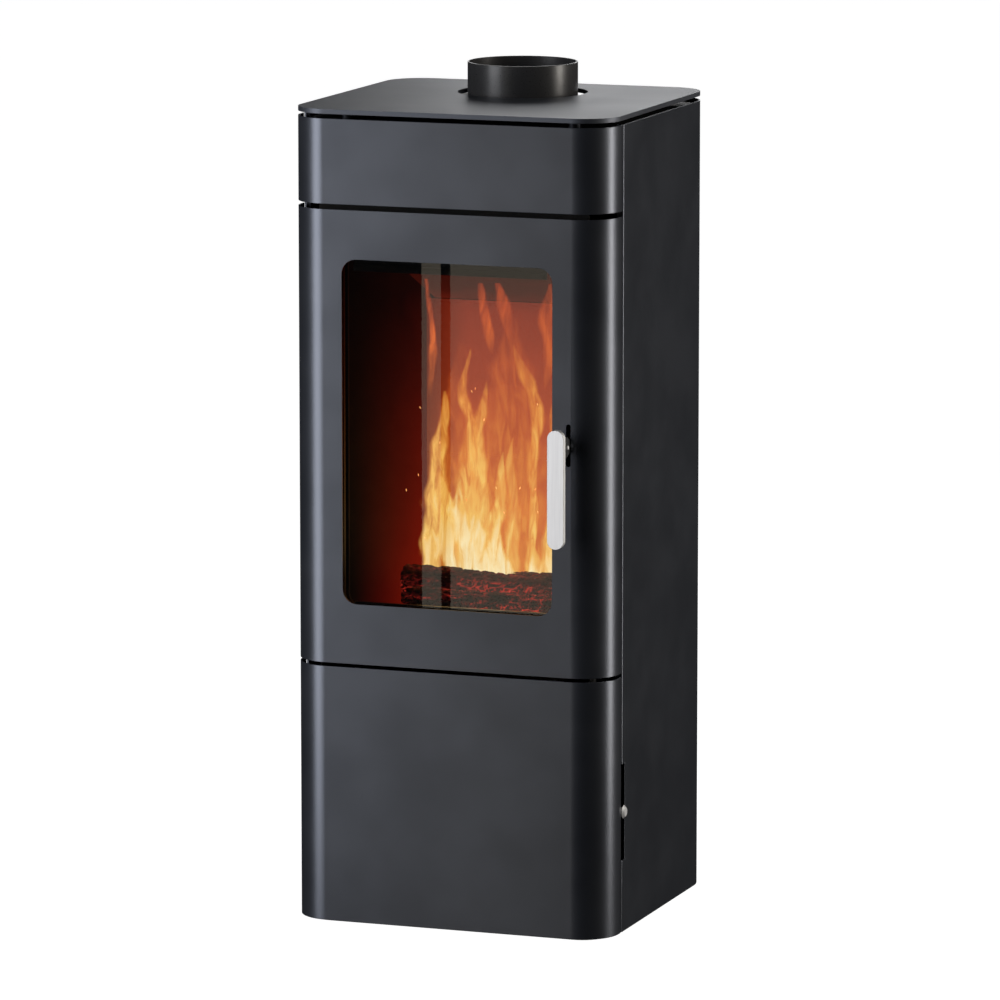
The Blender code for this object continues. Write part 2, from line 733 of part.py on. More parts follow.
def make_handle():
    half = lever_half_height
    tip = frame_front - 0.0015
    front = bar_back + gap
    outline = [
        (front, slot_height - half), (front, slot_height + half),
        (-half_depth - 0.012, slot_height + half), (-half_depth - 0.004, slot_height + 0.0095),
        (lever_y - 0.003, slot_height + 0.0075), (lever_y + 0.006, slot_height + 0.0040),
        (tip - 0.003, slot_height + 0.0038), (tip, slot_height + 0.0015),
        (tip, slot_height - 0.0045), (lever_y + 0.006, slot_height - 0.0060),
        (-half_depth - 0.004, slot_height - 0.0095), (-half_depth - 0.012, slot_height - half),
    ]
    hole = circle(lever_y, slot_height, lever_pin_radius + running, 20)
    low = slot_x - lever_thickness / 2
    lever = flat([outline, hole], low, low + lever_thickness, "YZ")
    name_piece(lever, "latch_lever", black_paint, handle_axis)
    middle = bar_bottom + bar_length / 2
    outline = slot(bar_x, middle, bar_width, bar_length, 12)
    bar = flat([outline], bar_back - bar_thickness, bar_back, "XZ")
    bevel(bar, 0.0009, 1)
    name_piece(bar, "handle_bar", bare_steel, handle_axis)
    right = low + lever_thickness + gap
    rivet = turned([(0, 0.0016), (rivet_radius * 0.7, 0.0012), (rivet_radius, 0), (0, 0)], steps=20)
    rivet.rotation_euler = (0, math.pi / 2, 0)
    rivet.location = (right, -half_depth - 0.010, slot_height - 0.001)
    name_piece(rivet, "handle_rivet", bare_steel, handle_axis)
    reach = latch_pocket_width - 2 * gap
    pin = rod(lever_pin_radius, reach, (slot_x, lever_y, slot_height), "X", 20)
    name_piece(pin, "latch_pin", bare_steel, door_axis)
    ear_front = frame_front - gap
    ears = []
    for side in (-1, 1):
        inner = slot_x + side * (lever_thickness / 2 + 0.0009)
        outer = inner + side * 0.0018
        xs = sorted((inner, outer))
        ears.append(block(
            (xs[0], tip - 0.0060, slot_height + striker_height - 0.0045),
            (xs[1], ear_front, slot_height + striker_height + 0.0060)))
    striker = ears[0]
    cut(striker, ears[1], "UNION")
    width = lever_thickness + 0.0040
    bridge = rod(striker_radius, width, (slot_x, tip - 0.0025, slot_height + striker_height), "X", 20)
    cut(striker, bridge, "UNION")
    name_piece(striker, "latch_striker", bare_steel)


def tray_outline(inset, back):
    """The lower door's tray seen from above, inside its shell, drawn in by a wall."""
    side = door_frame_half - inset
    nose = half_width - corner_radius - inset
    front = shell_inside + gap + inset
    shoulder = door_frame_front + inset
    right = [(side, back), (side, shoulder), (nose, front)]
    return right + [(-x, y) for x, y in reversed(right)]


def make_lower_door():
    shell = sheet(front_path(), shell_bottom, lower_door_top, skin)
    name_piece(shell, "lower_door_shell", casing_paint, lower_door_axis)
    low = shell_bottom + 0.009
    high = lower_door_top - 0.009
    back = chamber_front - 0.0028
    wall = bay_sheet
    tray = flat([tray_outline(0, back)], low, high, "XY")
    cut(tray, flat([tray_outline(wall, back + wall)], low + wall, high - wall, "XY"))
    name_piece(tray, "lower_door_tray", black_paint, lower_door_axis)
    inner = door_frame_half - wall - gap
    middle = (shell_bottom + lower_door_top) / 2
    strike = block((inner - 0.018, back - 0.0015, middle - 0.020), (inner, back, middle + 0.020))
    name_piece(strike, "magnet_strike", galvanised, lower_door_axis)
    outer = bay_half_width - bay_sheet - gap
    catch = block((outer - 0.016, back + 0.0010, middle - 0.018), (outer, back + 0.016, middle + 0.018))
    name_piece(catch, "magnet_catch", magnet)


def make_air_control():
    middle = valve_bottom + valve_height / 2
    back = knob_y - 0.004 + valve_width
    front = knob_y - 0.004
    valve = block((valve_inner, front, valve_bottom), (valve_outer, back, valve_bottom + valve_height))
    shutter_top = knob_height + 0.160
    shutter = block(
        (shutter_inner, front, shutter_top - shutter_height),
        (shutter_outer, front + shutter_width, shutter_top))
    for index in (-1, 1):
        port = middle + index * 0.028
        low = (valve_inner - skin, front + 0.015, port - 0.012)
        high = (valve_outer + 0.0002, back - 0.012, port + 0.012)
        cut(valve, block(low, high))
        low = (valve_outer + 0.0001, front + 0.015, port - 0.008)
        high = (shutter_outer + skin, back - 0.012, port + 0.008)
        cut(shutter, block(low, high))
    name_piece(valve, "air_valve", black_paint)
    name_piece(shutter, "air_shutter", black_paint, air_axis)
    start = shutter_outer + gap
    face = half_width + knob_proud
    rim = half_width + clearance
    profile = [
        (0, face), (knob_radius - knob_chamfer, face), (knob_radius, face - knob_chamfer),
        (knob_radius, rim), (knob_stem, rim), (knob_stem, start), (0, start),
    ]
    knob = turned(profile, steps=28)
    knob.rotation_euler = (0, math.pi / 2, 0)
    knob.location = (0, knob_y, knob_height)
    name_piece(knob, "air_knob", bare_steel, air_axis)


def log(name, length, radius, centre, turn, phase):
    """A charred log: a rod whose skin swells and splits by a fixed rule."""
    bpy.ops.mesh.primitive_cylinder_add(vertices=14, radius=radius, depth=length)
    obj = bpy.context.object
    shape = bmesh.new()
    shape.from_mesh(obj.data)
    sides = [e for e in shape.edges if abs(e.verts[0].co.z - e.verts[1].co.z) > length / 2]
    bmesh.ops.subdivide_edges(shape, edges=sides, cuts=7)
    for vert in shape.verts:
        around = math.atan2(vert.co.y, vert.co.x)
        along = vert.co.z / length
        swell = 0.07 * math.sin(3 * around + phase) + 0.05 * math.sin(9 * along + 2 * around + phase)
        vert.co.x *= 0.9 + swell
        vert.co.y *= 0.9 + swell
    shape.to_mesh(obj.data)
    shape.free()
    obj.rotation_euler = (0, math.pi / 2, math.radians(turn))
    obj.location = centre
    name_piece(obj, name, charred)


def make_fuel():
    bed_top = hearth_height + bed_thickness
    low = hearth_height + gap
    bed = flat([rounded_rectangle(0, grate_y, bed_width, bed_depth, 0.040, 6)], low, bed_top, "XY")
    name_piece(bed, "ash_bed", ash)
    upper = bed_top + gap
    log("log_front", 0.235, 0.0195, (0.010, grate_y - log_spread_front, upper + 0.0200), 2, 0.4)
    log("log_rear", 0.220, 0.0215, (-0.004, grate_y + log_spread_rear, upper + 0.0220), -1, 1.7)
    log("log_top", 0.262, 0.0290, (0.002, grate_y, upper + 0.0300), 1, 2.9)


make_base()
make_side_panels()
make_back_panel()
make_top()
make_chamber()
make_linings()
make_lower_bay()
make_hinges("door", door_lug_heights, door_axis, 0)
make_hinges("lower", lower_lug_heights, lower_door_axis, -bay_half_width - gap)
make_door()
make_glass_strips()
make_handle()
make_lower_door()
make_air_control()
make_fuel()

for piece in parts.objects:
    if piece.type == "MESH":
        piece.data.shade_smooth()
        piece.data.set_sharp_from_angle(angle=math.radians(30))
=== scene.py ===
import json
import math
import random

import bmesh
import bpy
from mathutils import Matrix, Vector

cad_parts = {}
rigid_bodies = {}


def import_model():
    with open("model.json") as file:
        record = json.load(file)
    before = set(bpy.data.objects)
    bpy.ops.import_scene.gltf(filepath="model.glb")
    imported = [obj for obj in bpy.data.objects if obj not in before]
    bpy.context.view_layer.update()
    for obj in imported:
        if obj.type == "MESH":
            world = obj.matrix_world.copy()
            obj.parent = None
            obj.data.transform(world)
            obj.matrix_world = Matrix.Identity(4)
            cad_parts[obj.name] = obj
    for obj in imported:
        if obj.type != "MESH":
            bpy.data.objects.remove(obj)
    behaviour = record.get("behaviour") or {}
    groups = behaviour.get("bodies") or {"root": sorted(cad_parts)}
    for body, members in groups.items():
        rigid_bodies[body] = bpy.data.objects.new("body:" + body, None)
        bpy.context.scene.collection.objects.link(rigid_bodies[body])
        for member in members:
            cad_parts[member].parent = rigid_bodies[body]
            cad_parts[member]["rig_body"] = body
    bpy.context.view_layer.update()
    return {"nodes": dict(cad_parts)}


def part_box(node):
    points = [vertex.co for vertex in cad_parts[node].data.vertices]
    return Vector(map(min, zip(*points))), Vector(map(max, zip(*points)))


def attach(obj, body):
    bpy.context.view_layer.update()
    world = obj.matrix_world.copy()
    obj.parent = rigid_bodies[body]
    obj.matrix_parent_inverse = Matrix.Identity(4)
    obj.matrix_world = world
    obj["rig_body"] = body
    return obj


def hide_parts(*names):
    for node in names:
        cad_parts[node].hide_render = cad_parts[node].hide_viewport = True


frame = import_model()
nodes = frame["nodes"]
print("frame loaded:", len(nodes), "nodes")


def linear(code):    # sRGB hex to linear colour
    parts = [int(code[i:i + 2], 16) / 255 for i in (1, 3, 5)]
    return [c / 12.92 if c <= 0.04045 else ((c + 0.055) / 1.055) ** 2.4 for c in parts] + [1.0]


def add(tree, kind, inputs=None, **settings):
    # one node; an input is a plain value, a socket, or a node whose first output feeds it
    node = tree.nodes.new(kind if "Node" in kind else "ShaderNode" + kind)
    for name, value in settings.items():
        if name == "stops":
            setStops(node.color_ramp.elements, value)
        else:
            setattr(node, name, value)
    for name, value in (inputs or {}).items():
        if isinstance(value, bpy.types.Node):
            value = next(socket for socket in value.outputs if socket.enabled)
        if isinstance(value, bpy.types.NodeSocket):
            tree.links.new(value, node.inputs[name])
        else:
            node.inputs[name].default_value = value
    return node


def setStops(elements, stops):    # colours along a ramp, as (place, hex)
    elements[0].position, elements[1].position = stops[0][0], stops[-1][0]
    elements[0].color, elements[1].color = linear(stops[0][1]), linear(stops[-1][1])
    for place, code in stops[1:-1]:
        elements.new(place).color = linear(code)


def perMm(size):    # texture scale for a pattern of that many millimetres
    return 1000 / size


def newMaterial(name):    # an empty material, its tree and the object's own coordinates
    made = bpy.data.materials.new(name)
    made.use_nodes = True
    tree = made.node_tree
    tree.nodes.clear()
    return made, tree, add(tree, "TexCoord").outputs["Object"]


def surface(tree, inputs):    # every material ends the same way
    add(tree, "OutputMaterial", {"Surface": add(tree, "BsdfPrincipled", inputs)})


casing = {
    "colour": "#4c4f56", "shade": "#474a51",
    "metallic": 0.75, "roughness": (0.32, 0.36), "plateRoughness": (0.47, 0.52),
    "peel": 2.6, "peelDepth": 0.000035,
}


def makePowderCoat(name, roughness):
    # polyester powder coat on sheet steel: sprayed, then baked, which leaves a satin skin
    # with a faint orange peel. The peel is really about 1 mm and is drawn 2.6 mm wide to show.
    made, tree, place = newMaterial(name)
    cloud = add(tree, "TexNoise", {"Vector": place, "Scale": perMm(90)})
    peel = add(tree, "TexNoise", {"Vector": place, "Scale": perMm(casing["peel"]), "Roughness": 0.4})
    dust = add(tree, "TexNoise", {"Vector": place, "Scale": perMm(0.9), "Roughness": 0.6})
    colour = add(tree, "ValToRGB", {"Fac": cloud}, stops=[
        (0.35, casing["shade"]), (0.65, casing["colour"])
    ])
    rough = add(tree, "MapRange", {
        "Value": add(tree, "Math", {
            0: cloud, 1: add(tree, "Math", {0: dust, 1: 0.25}, operation="MULTIPLY")
        }, operation="ADD"),
        "From Min": 0.4, "From Max": 0.85, "To Min": roughness[0], "To Max": roughness[1]
    })
    normal = add(tree, "Bump", {"Height": peel, "Distance": casing["peelDepth"], "Strength": 0.6})
    surface(tree, {
        "Metallic": casing["metallic"], "Coat Weight": 0.04, "Coat Roughness": 0.2, "Base Color": colour,
        "Roughness": rough, "Normal": normal
    })
    return made


def makeStovePaint(name, colour, rough, grain, depth, scorch=None):
    # silicone stove paint, sprayed: dry matt black with a fine grain
    made, tree, place = newMaterial(name)
    cloud = add(tree, "TexNoise", {"Vector": place, "Scale": perMm(70), "Detail": 3})
    fine = add(tree, "TexNoise", {"Vector": place, "Scale": perMm(grain), "Roughness": 0.6})
    tone = add(tree, "ValToRGB", {"Fac": cloud}, stops=[(0.3, colour[0]), (0.7, colour[1])])
    if scorch:    # heat and soot dull the paint inside the chamber
        soot = add(tree, "TexNoise", {"Vector": place, "Scale": perMm(35), "Detail": 4, "Roughness": 0.6})
        tone = add(tree, "Mix", {
            0: add(tree, "MapRange", {"Value": soot, "From Min": 0.45, "From Max": 0.7}), 6: tone,
            7: linear(scorch)
        }, data_type="RGBA")
    roughness = add(tree, "MapRange", {
        "Value": fine, "From Min": 0.3, "From Max": 0.7, "To Min": rough - 0.05, "To Max": rough + 0.06
    })
    surface(tree, {
        "Metallic": 0.0, "Base Color": tone, "Roughness": roughness,
        "Normal": add(tree, "Bump", {"Height": fine, "Distance": depth, "Strength": 0.5})
    })
    return made


def makeBrushedSteel(name, colours, rough, along, metallic=1.0):
    # stainless steel, ground along its length: fine lines about 0.3 mm apart, drawn 0.8 mm
    made, tree, place = newMaterial(name)
    stretch = [perMm(0.8)] * 3
    stretch["XYZ".index(along)] = perMm(60)
    ground = add(tree, "Mapping", {"Vector": place, "Scale": tuple(stretch)})
    lines = add(tree, "TexNoise", {"Scale": 1.0, "Detail": 3.0, "Vector": ground})
    smear = add(tree, "TexNoise", {"Vector": place, "Scale": perMm(30)})
    colour = add(tree, "ValToRGB", {"Fac": lines}, stops=[(0.3, colours[0]), (0.7, colours[1])])
    roughness = add(tree, "MapRange", {
        "Value": add(tree, "Math", {
            0: lines, 1: add(tree, "Math", {0: smear, 1: 0.4}, operation="MULTIPLY")
        }, operation="ADD"),
        "From Min": 0.5, "From Max": 0.9, "To Min": rough - 0.04, "To Max": rough + 0.05
    })
    surface(tree, {
        "Metallic": metallic, "Base Color": colour, "Roughness": roughness,
        "Normal": add(tree, "Bump", {"Height": lines, "Distance": 0.00002, "Strength": 0.35})
    })
    return made


def makeGalvanised():
    # hot-dip galvanised sheet: zinc crystals about 7 mm across, each with its own grey
    made, tree, place = newMaterial("galvanisedSheet")
    bent = add(tree, "VectorMath", {
        0: place,
        1: add(tree, "VectorMath", {
            "Scale": 0.004,
            0: add(tree, "TexNoise", {"Scale": perMm(12), "Vector": place}).outputs["Color"]
        }, operation="SCALE")
    }, operation="ADD")
    cells = add(tree, "TexVoronoi", {"Scale": perMm(7), "Vector": bent})
    grey = add(tree, "SeparateColor", {0: cells.outputs["Color"]})
    colour = add(tree, "ValToRGB", {"Fac": grey}, stops=[
        (0.0, "#8b9093"), (0.5, "#969b9e"), (1.0, "#a2a7a9")
    ])
    rough = add(tree, "MapRange", {"Value": grey, "To Min": 0.38, "To Max": 0.46})
    surface(tree, {
        "Metallic": 0.9, "Base Color": colour, "Roughness": rough,
        "Normal": add(tree, "Bump", {"Height": grey, "Distance": 0.00003, "Strength": 0.3})
    })
    return made


def makeCastIron():
    # grey cast iron from a sand mould: coarse 1.5 mm skin, ash dust lying on what faces up
    made, tree, place = newMaterial("sandCastIron")
    skin = add(tree, "TexNoise", {"Vector": place, "Scale": perMm(1.8), "Detail": 4, "Roughness": 0.65})
    facing = add(tree, "SeparateXYZ", {0: add(tree, "NewGeometry").outputs["Normal"]})
    dust = add(tree, "Math", {
        0: add(tree, "MapRange", {"Value": facing.outputs["Z"], "From Min": 0.5}),
        1: add(tree, "MapRange", {
            "Value": add(tree, "TexNoise", {"Vector": place, "Scale": perMm(16), "Detail": 4}),
            "From Min": 0.45, "From Max": 0.65
        })
    }, operation="MULTIPLY")
    colour = add(tree, "Mix", {
        0: dust, 6: add(tree, "ValToRGB", {"Fac": skin}, stops=[(0.3, "#1b1918"), (0.7, "#34302d")]),
        7: linear("#7d756d")
    }, data_type="RGBA")
    surface(tree, {
        "Metallic": 0.35, "Roughness": 0.78, "Base Color": colour,
        "Normal": add(tree, "Bump", {"Height": skin, "Distance": 0.0003, "Strength": 0.6})
    })
    return made


# painted firelight: emission colours and strengths for the lining boards, standing in for the fire's light
# on them
paintedFirelight = {
    "hearth": 0.40, "top": 0.83,
    "back": [(0.00, "#e28a3c"), (0.25, "#d0672e"), (0.5, "#b84c24"), (0.75, "#9c381e"),
             (0.92, "#8a2d19"), (1.0, "#6a2014")],
    "side": [(0.0, "#7a1206"), (0.35, "#5c0d05"), (0.7, "#3a0804"), (1.0, "#160302")],
    "backStrength": 1.0, "sideStrength": 1.1, "roofStrength": 0.5,
}


def makeVermiculite(name, glow=None, soot=0.5):
    # pressed vermiculite board: 3 mm mica flakes in a buff binder, sooted by use; with glow set it also
    # carries painted firelight, an emission that stands in for the fire's light on the board
    made, tree, place = newMaterial(name)
    flakes = add(tree, "TexVoronoi", {"Scale": perMm(3.2), "Vector": place})
    shade = add(tree, "SeparateColor", {0: flakes.outputs["Color"]})
    board = add(tree, "ValToRGB", {"Fac": shade}, stops=[
        (0.0, "#7d6548"), (0.6, "#94795a"), (1.0, "#b39a78")
    ])
    stain = add(tree, "MapRange", {
        "Value": add(tree, "TexNoise", {
            "Vector": place, "Scale": perMm(60), "Detail": 4, "Roughness": 0.6
        }),
        "From Min": 0.62 - 0.5 * soot, "From Max": 0.9 - 0.5 * soot
    })
    colour = add(tree, "Mix", {0: stain, 6: board, 7: linear("#0b0806")}, data_type="RGBA")
    inputs = {"Base Color": colour, "Roughness": 0.93, "Specular IOR Level": 0.15}
    inputs["Normal"] = add(tree, "Bump", {"Height": shade, "Distance": 0.00012, "Strength": 0.4})
    if glow:
        # painted firelight: emission brightest low down and fading upward, dimmer towards the side edges on
        # the back board and towards the front on the side boards and the roof
        axes = add(tree, "SeparateXYZ", {0: place}).outputs
        waver = add(tree, "Math", {
            0: add(tree, "Math", {
                0: add(tree, "TexNoise", {
                    "Vector": place, "Scale": perMm(85), "Detail": 3, "Distortion": 0.6
                }),
                1: 0.5
            }, operation="SUBTRACT"),
            1: 0.16
        }, operation="MULTIPLY")
        height = add(tree, "Math", {
            0: add(tree, "MapRange", {
                "Value": axes["Z"], "From Min": paintedFirelight["hearth"], "From Max": paintedFirelight["top"]
            }),
            1: waver
        }, operation="ADD")
        light = add(tree, "ValToRGB", {
            "Fac": height
        }, stops=paintedFirelight["back" if glow == "back" else "side"])
        mottle = add(tree, "MapRange", {"Value": shade, "To Min": 0.93})
        if glow == "back":
            paintedLightFalloff = add(tree, "MapRange", {
                "Value": axes["X"], "From Min": -0.155, "From Max": -0.09, "To Min": 0.35
            })
            right = add(tree, "MapRange", {
                "Value": axes["X"], "From Min": 0.10, "From Max": 0.155, "To Min": 1.0, "To Max": 0.45
            })
            paintedLightFalloff = add(tree, "Math", {0: paintedLightFalloff, 1: right}, operation="MULTIPLY")
        elif glow == "side":
            paintedLightFalloff = add(tree, "Math", {
                0: add(tree, "MapRange", {"Value": axes["Y"], "From Min": -0.17, "From Max": 0.11}),
                1: 1.5
            }, operation="POWER")
        else:
            paintedLightFalloff = add(tree, "MapRange", {
                "Value": axes["Y"], "From Min": -0.06, "From Max": 0.12, "To Min": 0.15
            })
            light = add(tree, "ValToRGB", {"Fac": height}, stops=[(0.9, "#8a2a1a"), (1.0, "#5c1a10")])
        paintedGlowMask = add(tree, "Math", {0: paintedLightFalloff, 1: mottle}, operation="MULTIPLY")
        inputs["Emission Color"] = add(tree, "Mix", {
            0: paintedGlowMask, 6: linear("#000000"), 7: light
        }, data_type="RGBA")
        inputs["Emission Strength"] = paintedFirelight[glow + "Strength"]
    surface(tree, inputs)
    return made


def makeCharredWood():
    # birch burnt to char: square cracked blocks, red embers down in the cracks, ash low on the log and in
    # flecks
    made, tree, place = newMaterial("charredWood")
    depth = add(tree, "Attribute", attribute_name="crack").outputs["Fac"]
    grain = add(tree, "TexNoise", {
        "Scale": 1.0, "Detail": 5.0,
        "Vector": add(tree, "Mapping", {"Vector": place, "Scale": (perMm(30), perMm(2.5), perMm(2.5))})
    })
    char = add(tree, "ValToRGB", {"Fac": grain}, stops=[
        (0.3, "#1a0d0a"), (0.55, "#34201a"), (0.8, "#573427")
    ])
    high = add(tree, "SeparateXYZ", {0: place}).outputs["Z"]
    low = add(tree, "MapRange", {
        "Value": high, "From Min": 0.418, "From Max": 0.438, "To Min": 1.0, "To Max": 0.0
    })
    patches = add(tree, "MapRange", {
        "Value": add(tree, "TexNoise", {
            "Vector": place, "Scale": perMm(14), "Detail": 5, "Roughness": 0.7
        }),
        "From Min": 0.50, "From Max": 0.60
    })
    flecks = add(tree, "MapRange", {
        "Value": add(tree, "TexNoise", {
            "Vector": place, "Scale": perMm(5), "Detail": 4, "Roughness": 0.7
        }),
        "From Min": 0.62, "From Max": 0.70
    })
    ash = add(tree, "Math", {
        0: add(tree, "Math", {0: low, 1: patches}, operation="MULTIPLY"),
        1: add(tree, "Math", {0: flecks, 1: 0.5}, operation="MULTIPLY")
    }, operation="MAXIMUM")
    colour = add(tree, "Mix", {0: ash, 6: char, 7: linear("#9a8f84")}, data_type="RGBA")
    hot = add(tree, "MapRange", {
        "Value": add(tree, "TexNoise", {
            "Vector": add(tree, "Mapping", {"Vector": place, "Scale": (0.45, 1, 1.8)}),
            "Scale": perMm(22), "Detail": 4, "Roughness": 0.65
        }),
        "From Min": 0.41, "From Max": 0.56
    })
    cracks = add(tree, "MapRange", {"Value": depth, "From Max": 0.75, "To Min": 1.0, "To Max": 0.0})
    crumbs = add(tree, "MapRange", {
        "Value": add(tree, "TexNoise", {
            "Vector": place, "Scale": perMm(3.0), "Detail": 3, "Roughness": 0.6
        }),
        "From Min": 0.48, "From Max": 0.60
    })
    ember = add(tree, "Math", {
        0: hot,
        1: add(tree, "Math", {
            0: cracks, 1: add(tree, "Math", {0: crumbs, 1: 0.7}, operation="MULTIPLY")
        }, operation="MAXIMUM")
    }, operation="MULTIPLY")
    level = add(tree, "MapRange", {
        "Value": high, "From Min": 0.405, "From Max": 0.465, "To Min": 1.0, "To Max": 0.4
    })
    ember = add(tree, "Math", {0: ember, 1: level}, operation="MULTIPLY")
    light = add(tree, "ValToRGB", {"Fac": ember}, stops=[
        (0.0, "#000000"), (0.3, "#3c0a08"), (0.7, "#a8281c"), (1.0, "#f07a3c")
    ])
    surface(tree, {
        "Roughness": 0.9, "Emission Strength": 1.5, "Base Color": colour, "Emission Color": light,
        "Normal": add(tree, "Bump", {"Height": grain, "Distance": 0.0006, "Strength": 0.7})
    })
    return made


def makeWoodAsh(name, colours, glow=None):
    # wood ash: soft pale powder in small lumps, drawn 4 mm across
    made, tree, place = newMaterial(name)
    lumps = add(tree, "TexNoise", {"Vector": place, "Scale": perMm(4), "Detail": 5, "Roughness": 0.7})
    inputs = {
        "Base Color": add(tree, "ValToRGB", {"Fac": lumps}, stops=[(0.3, colours[0]), (0.7, colours[1])]),
        "Roughness": 0.97
    }
    inputs["Normal"] = add(tree, "Bump", {"Height": lumps, "Distance": 0.0015, "Strength": 0.7})
    if glow:
        heat = add(tree, "MapRange", {
            "Value": add(tree, "TexNoise", {
                "Vector": place, "Scale": perMm(9), "Detail": 4, "Roughness": 0.6
            }),
            "From Min": 0.42, "From Max": 0.66
        })
        inputs["Emission Color"] = add(tree, "ValToRGB", {"Fac": heat}, stops=[
            (0.0, "#120202"), (0.5, glow[0]), (1.0, glow[1])
        ])
        inputs["Emission Strength"] = 1.0
    surface(tree, inputs)
    return made


def makeFlameGlow():
    # burning wood gas: it gives light and hides little, white-yellow at its root, red at its tips
    made, tree, place = newMaterial("burningGas")
    heat = add(tree, "Attribute", attribute_name="fireHeat").outputs["Fac"]
    body = add(tree, "Attribute", attribute_name="fireBody").outputs["Fac"]
    streaks = add(tree, "TexNoise", {
        "Scale": 1.0, "Detail": 3.0, "Distortion": 0.8,
        "Vector": add(tree, "Mapping", {"Vector": place, "Scale": (perMm(11), perMm(14), perMm(52))})
    })
    licks = add(tree, "MapRange", {
        "Value": streaks, "From Min": 0.34, "From Max": 0.62, "To Min": 0.55, "To Max": 1.5
    })
    warm = add(tree, "Math", {
        0: heat,
        1: add(tree, "MapRange", {
            "Value": streaks, "From Min": 0.3, "From Max": 0.7, "To Min": 0.86, "To Max": 1.1
        })
    }, operation="MULTIPLY")
    light = add(tree, "ValToRGB", {"Fac": warm}, stops=[
        (0.0, "#7a1c0a"), (0.2, "#b8381a"), (0.42, "#dd6a2a"), (0.62, "#f09a3e"), (0.8, "#f8c868"),
        (1.0, "#fff2c4")
    ])
    thick = add(tree, "Math", {0: body, 1: licks}, operation="MULTIPLY")
    alpha = add(tree, "Clamp", {"Value": thick})
    surface(tree, {
        "Base Color": (0, 0, 0, 1), "Roughness": 1.0, "Specular IOR Level": 0.0,
        "Emission Strength": 1.05, "Emission Color": light, "Alpha": alpha
    })
    return made


def makeSparkGlow():
    # sparks: specks of glowing char
    made, tree, place = newMaterial("glowingChar")
    light = add(tree, "ValToRGB", {
        "Fac": add(tree, "TexNoise", {"Vector": place, "Scale": perMm(30), "Detail": 1})
    }, stops=[(0.3, "#ff8a3c"), (0.7, "#ffc878")])
    surface(tree, {"Roughness": 0.9, "Emission Strength": 1.3, "Emission Color": light})
    return made


def makeGlassCeramic():
    # clear glass ceramic, 4 mm, polished: mirror-smooth, with a light haze of soot in patches
    made, tree, place = newMaterial("glassCeramic")
    haze = add(tree, "TexNoise", {"Vector": place, "Scale": perMm(45), "Detail": 4, "Roughness": 0.6})
    tint = add(tree, "ValToRGB", {"Fac": haze}, stops=[(0.4, "#fbf7f2"), (0.8, "#efe6dc")])
    surface(tree, {"Roughness": 0.0, "IOR": 1.52, "Transmission Weight": 1.0, "Base Color": tint})
    return made


def makeGlassRope(name, colours, size):
    # knitted glass-fibre rope and tape: soft matt yarns
    made, tree, place = newMaterial(name)
    yarn = add(tree, "TexNoise", {"Vector": place, "Scale": perMm(size), "Detail": 4, "Roughness": 0.7})
    surface(tree, {
        "Roughness": 0.95, "Sheen Weight": 0.25, "Sheen Roughness": 0.6,
        "Base Color": add(tree, "ValToRGB", {"Fac": yarn}, stops=[(0.3, colours[0]), (0.7, colours[1])]),
        "Normal": add(tree, "Bump", {"Height": yarn, "Distance": 0.0004, "Strength": 0.6})
    })
    return made


def makeMouldedPlastic():
    # moulded polyamide round a magnet: fine eroded texture
    made, tree, place = newMaterial("mouldedPolyamide")
    fine = add(tree, "TexNoise", {"Vector": place, "Scale": perMm(1.0)})
    surface(tree, {
        "Roughness": 0.55,
        "Base Color": add(tree, "ValToRGB", {"Fac": fine}, stops=[(0.3, "#141414"), (0.7, "#1f1f20")]),
        "Normal": add(tree, "Bump", {"Height": fine, "Distance": 0.00005, "Strength": 0.4})
    })
    return made


powderCoat = makePowderCoat("powderCoatedSteel", casing["roughness"])
plateCoat = makePowderCoat("powderCoatedPlate", casing["plateRoughness"])
stovePaint = makeStovePaint("stovePaint", ("#101011", "#171718"), 0.55, 1.4, 0.00005)
chamberPaint = makeStovePaint("scorchedStovePaint", ("#0c0b0b", "#151312"), 0.8, 1.6, 0.0001, "#1d1714")
flueEnamel = makeStovePaint("satinFluePaint", ("#333334", "#3b3b3c"), 0.31, 1.6, 0.00003)
brushedSteel = makeBrushedSteel("brushedStainless", ("#eaeaeb", "#f5f5f5"), 0.50, "Z", 0.85)
turnedSteel = makeBrushedSteel("turnedSteel", ("#c2c3c5", "#d2d3d5"), 0.5, "X", 0.35)
galvanised = makeGalvanised()
castIron = makeCastIron()
# lining boards with painted firelight: emission standing in for the fire's light on back, sides and roof
boardBack = makeVermiculite("vermiculitePaintedFirelightBack", "back", 1.3)
boardSide = makeVermiculite("vermiculitePaintedFirelightSide", "side", 1.3)
boardPlain = makeVermiculite("vermiculiteSooted", None, 1.3)
boardRoof = makeVermiculite("vermiculitePaintedFirelightRoof", "roof", 1.3)
charredWood = makeCharredWood()
ashBed = makeWoodAsh("woodAsh", ("#4a4440", "#8d857d"), ("#2a0604", "#7a1a0c"))
ashCrust = makeWoodAsh("ashCrust", ("#6d655e", "#b3aaa0"))
emberCrust = makeWoodAsh("liveEmber", ("#1a0d0a", "#3a1c14"), ("#8a1c12", "#ff7a38"))
burningGas = makeFlameGlow()
glowingChar = makeSparkGlow()
glassCeramic = makeGlassCeramic()
sealRope = makeGlassRope("glassFibreRope", ("#1d1d1e", "#39393a"), 2.2)
gasketTape = makeGlassRope("glassFibreTape", ("#0d0d0d", "#1b1b1b"), 1.4)
polyamide = makeMouldedPlastic()
print("materials made:", len(bpy.data.materials))


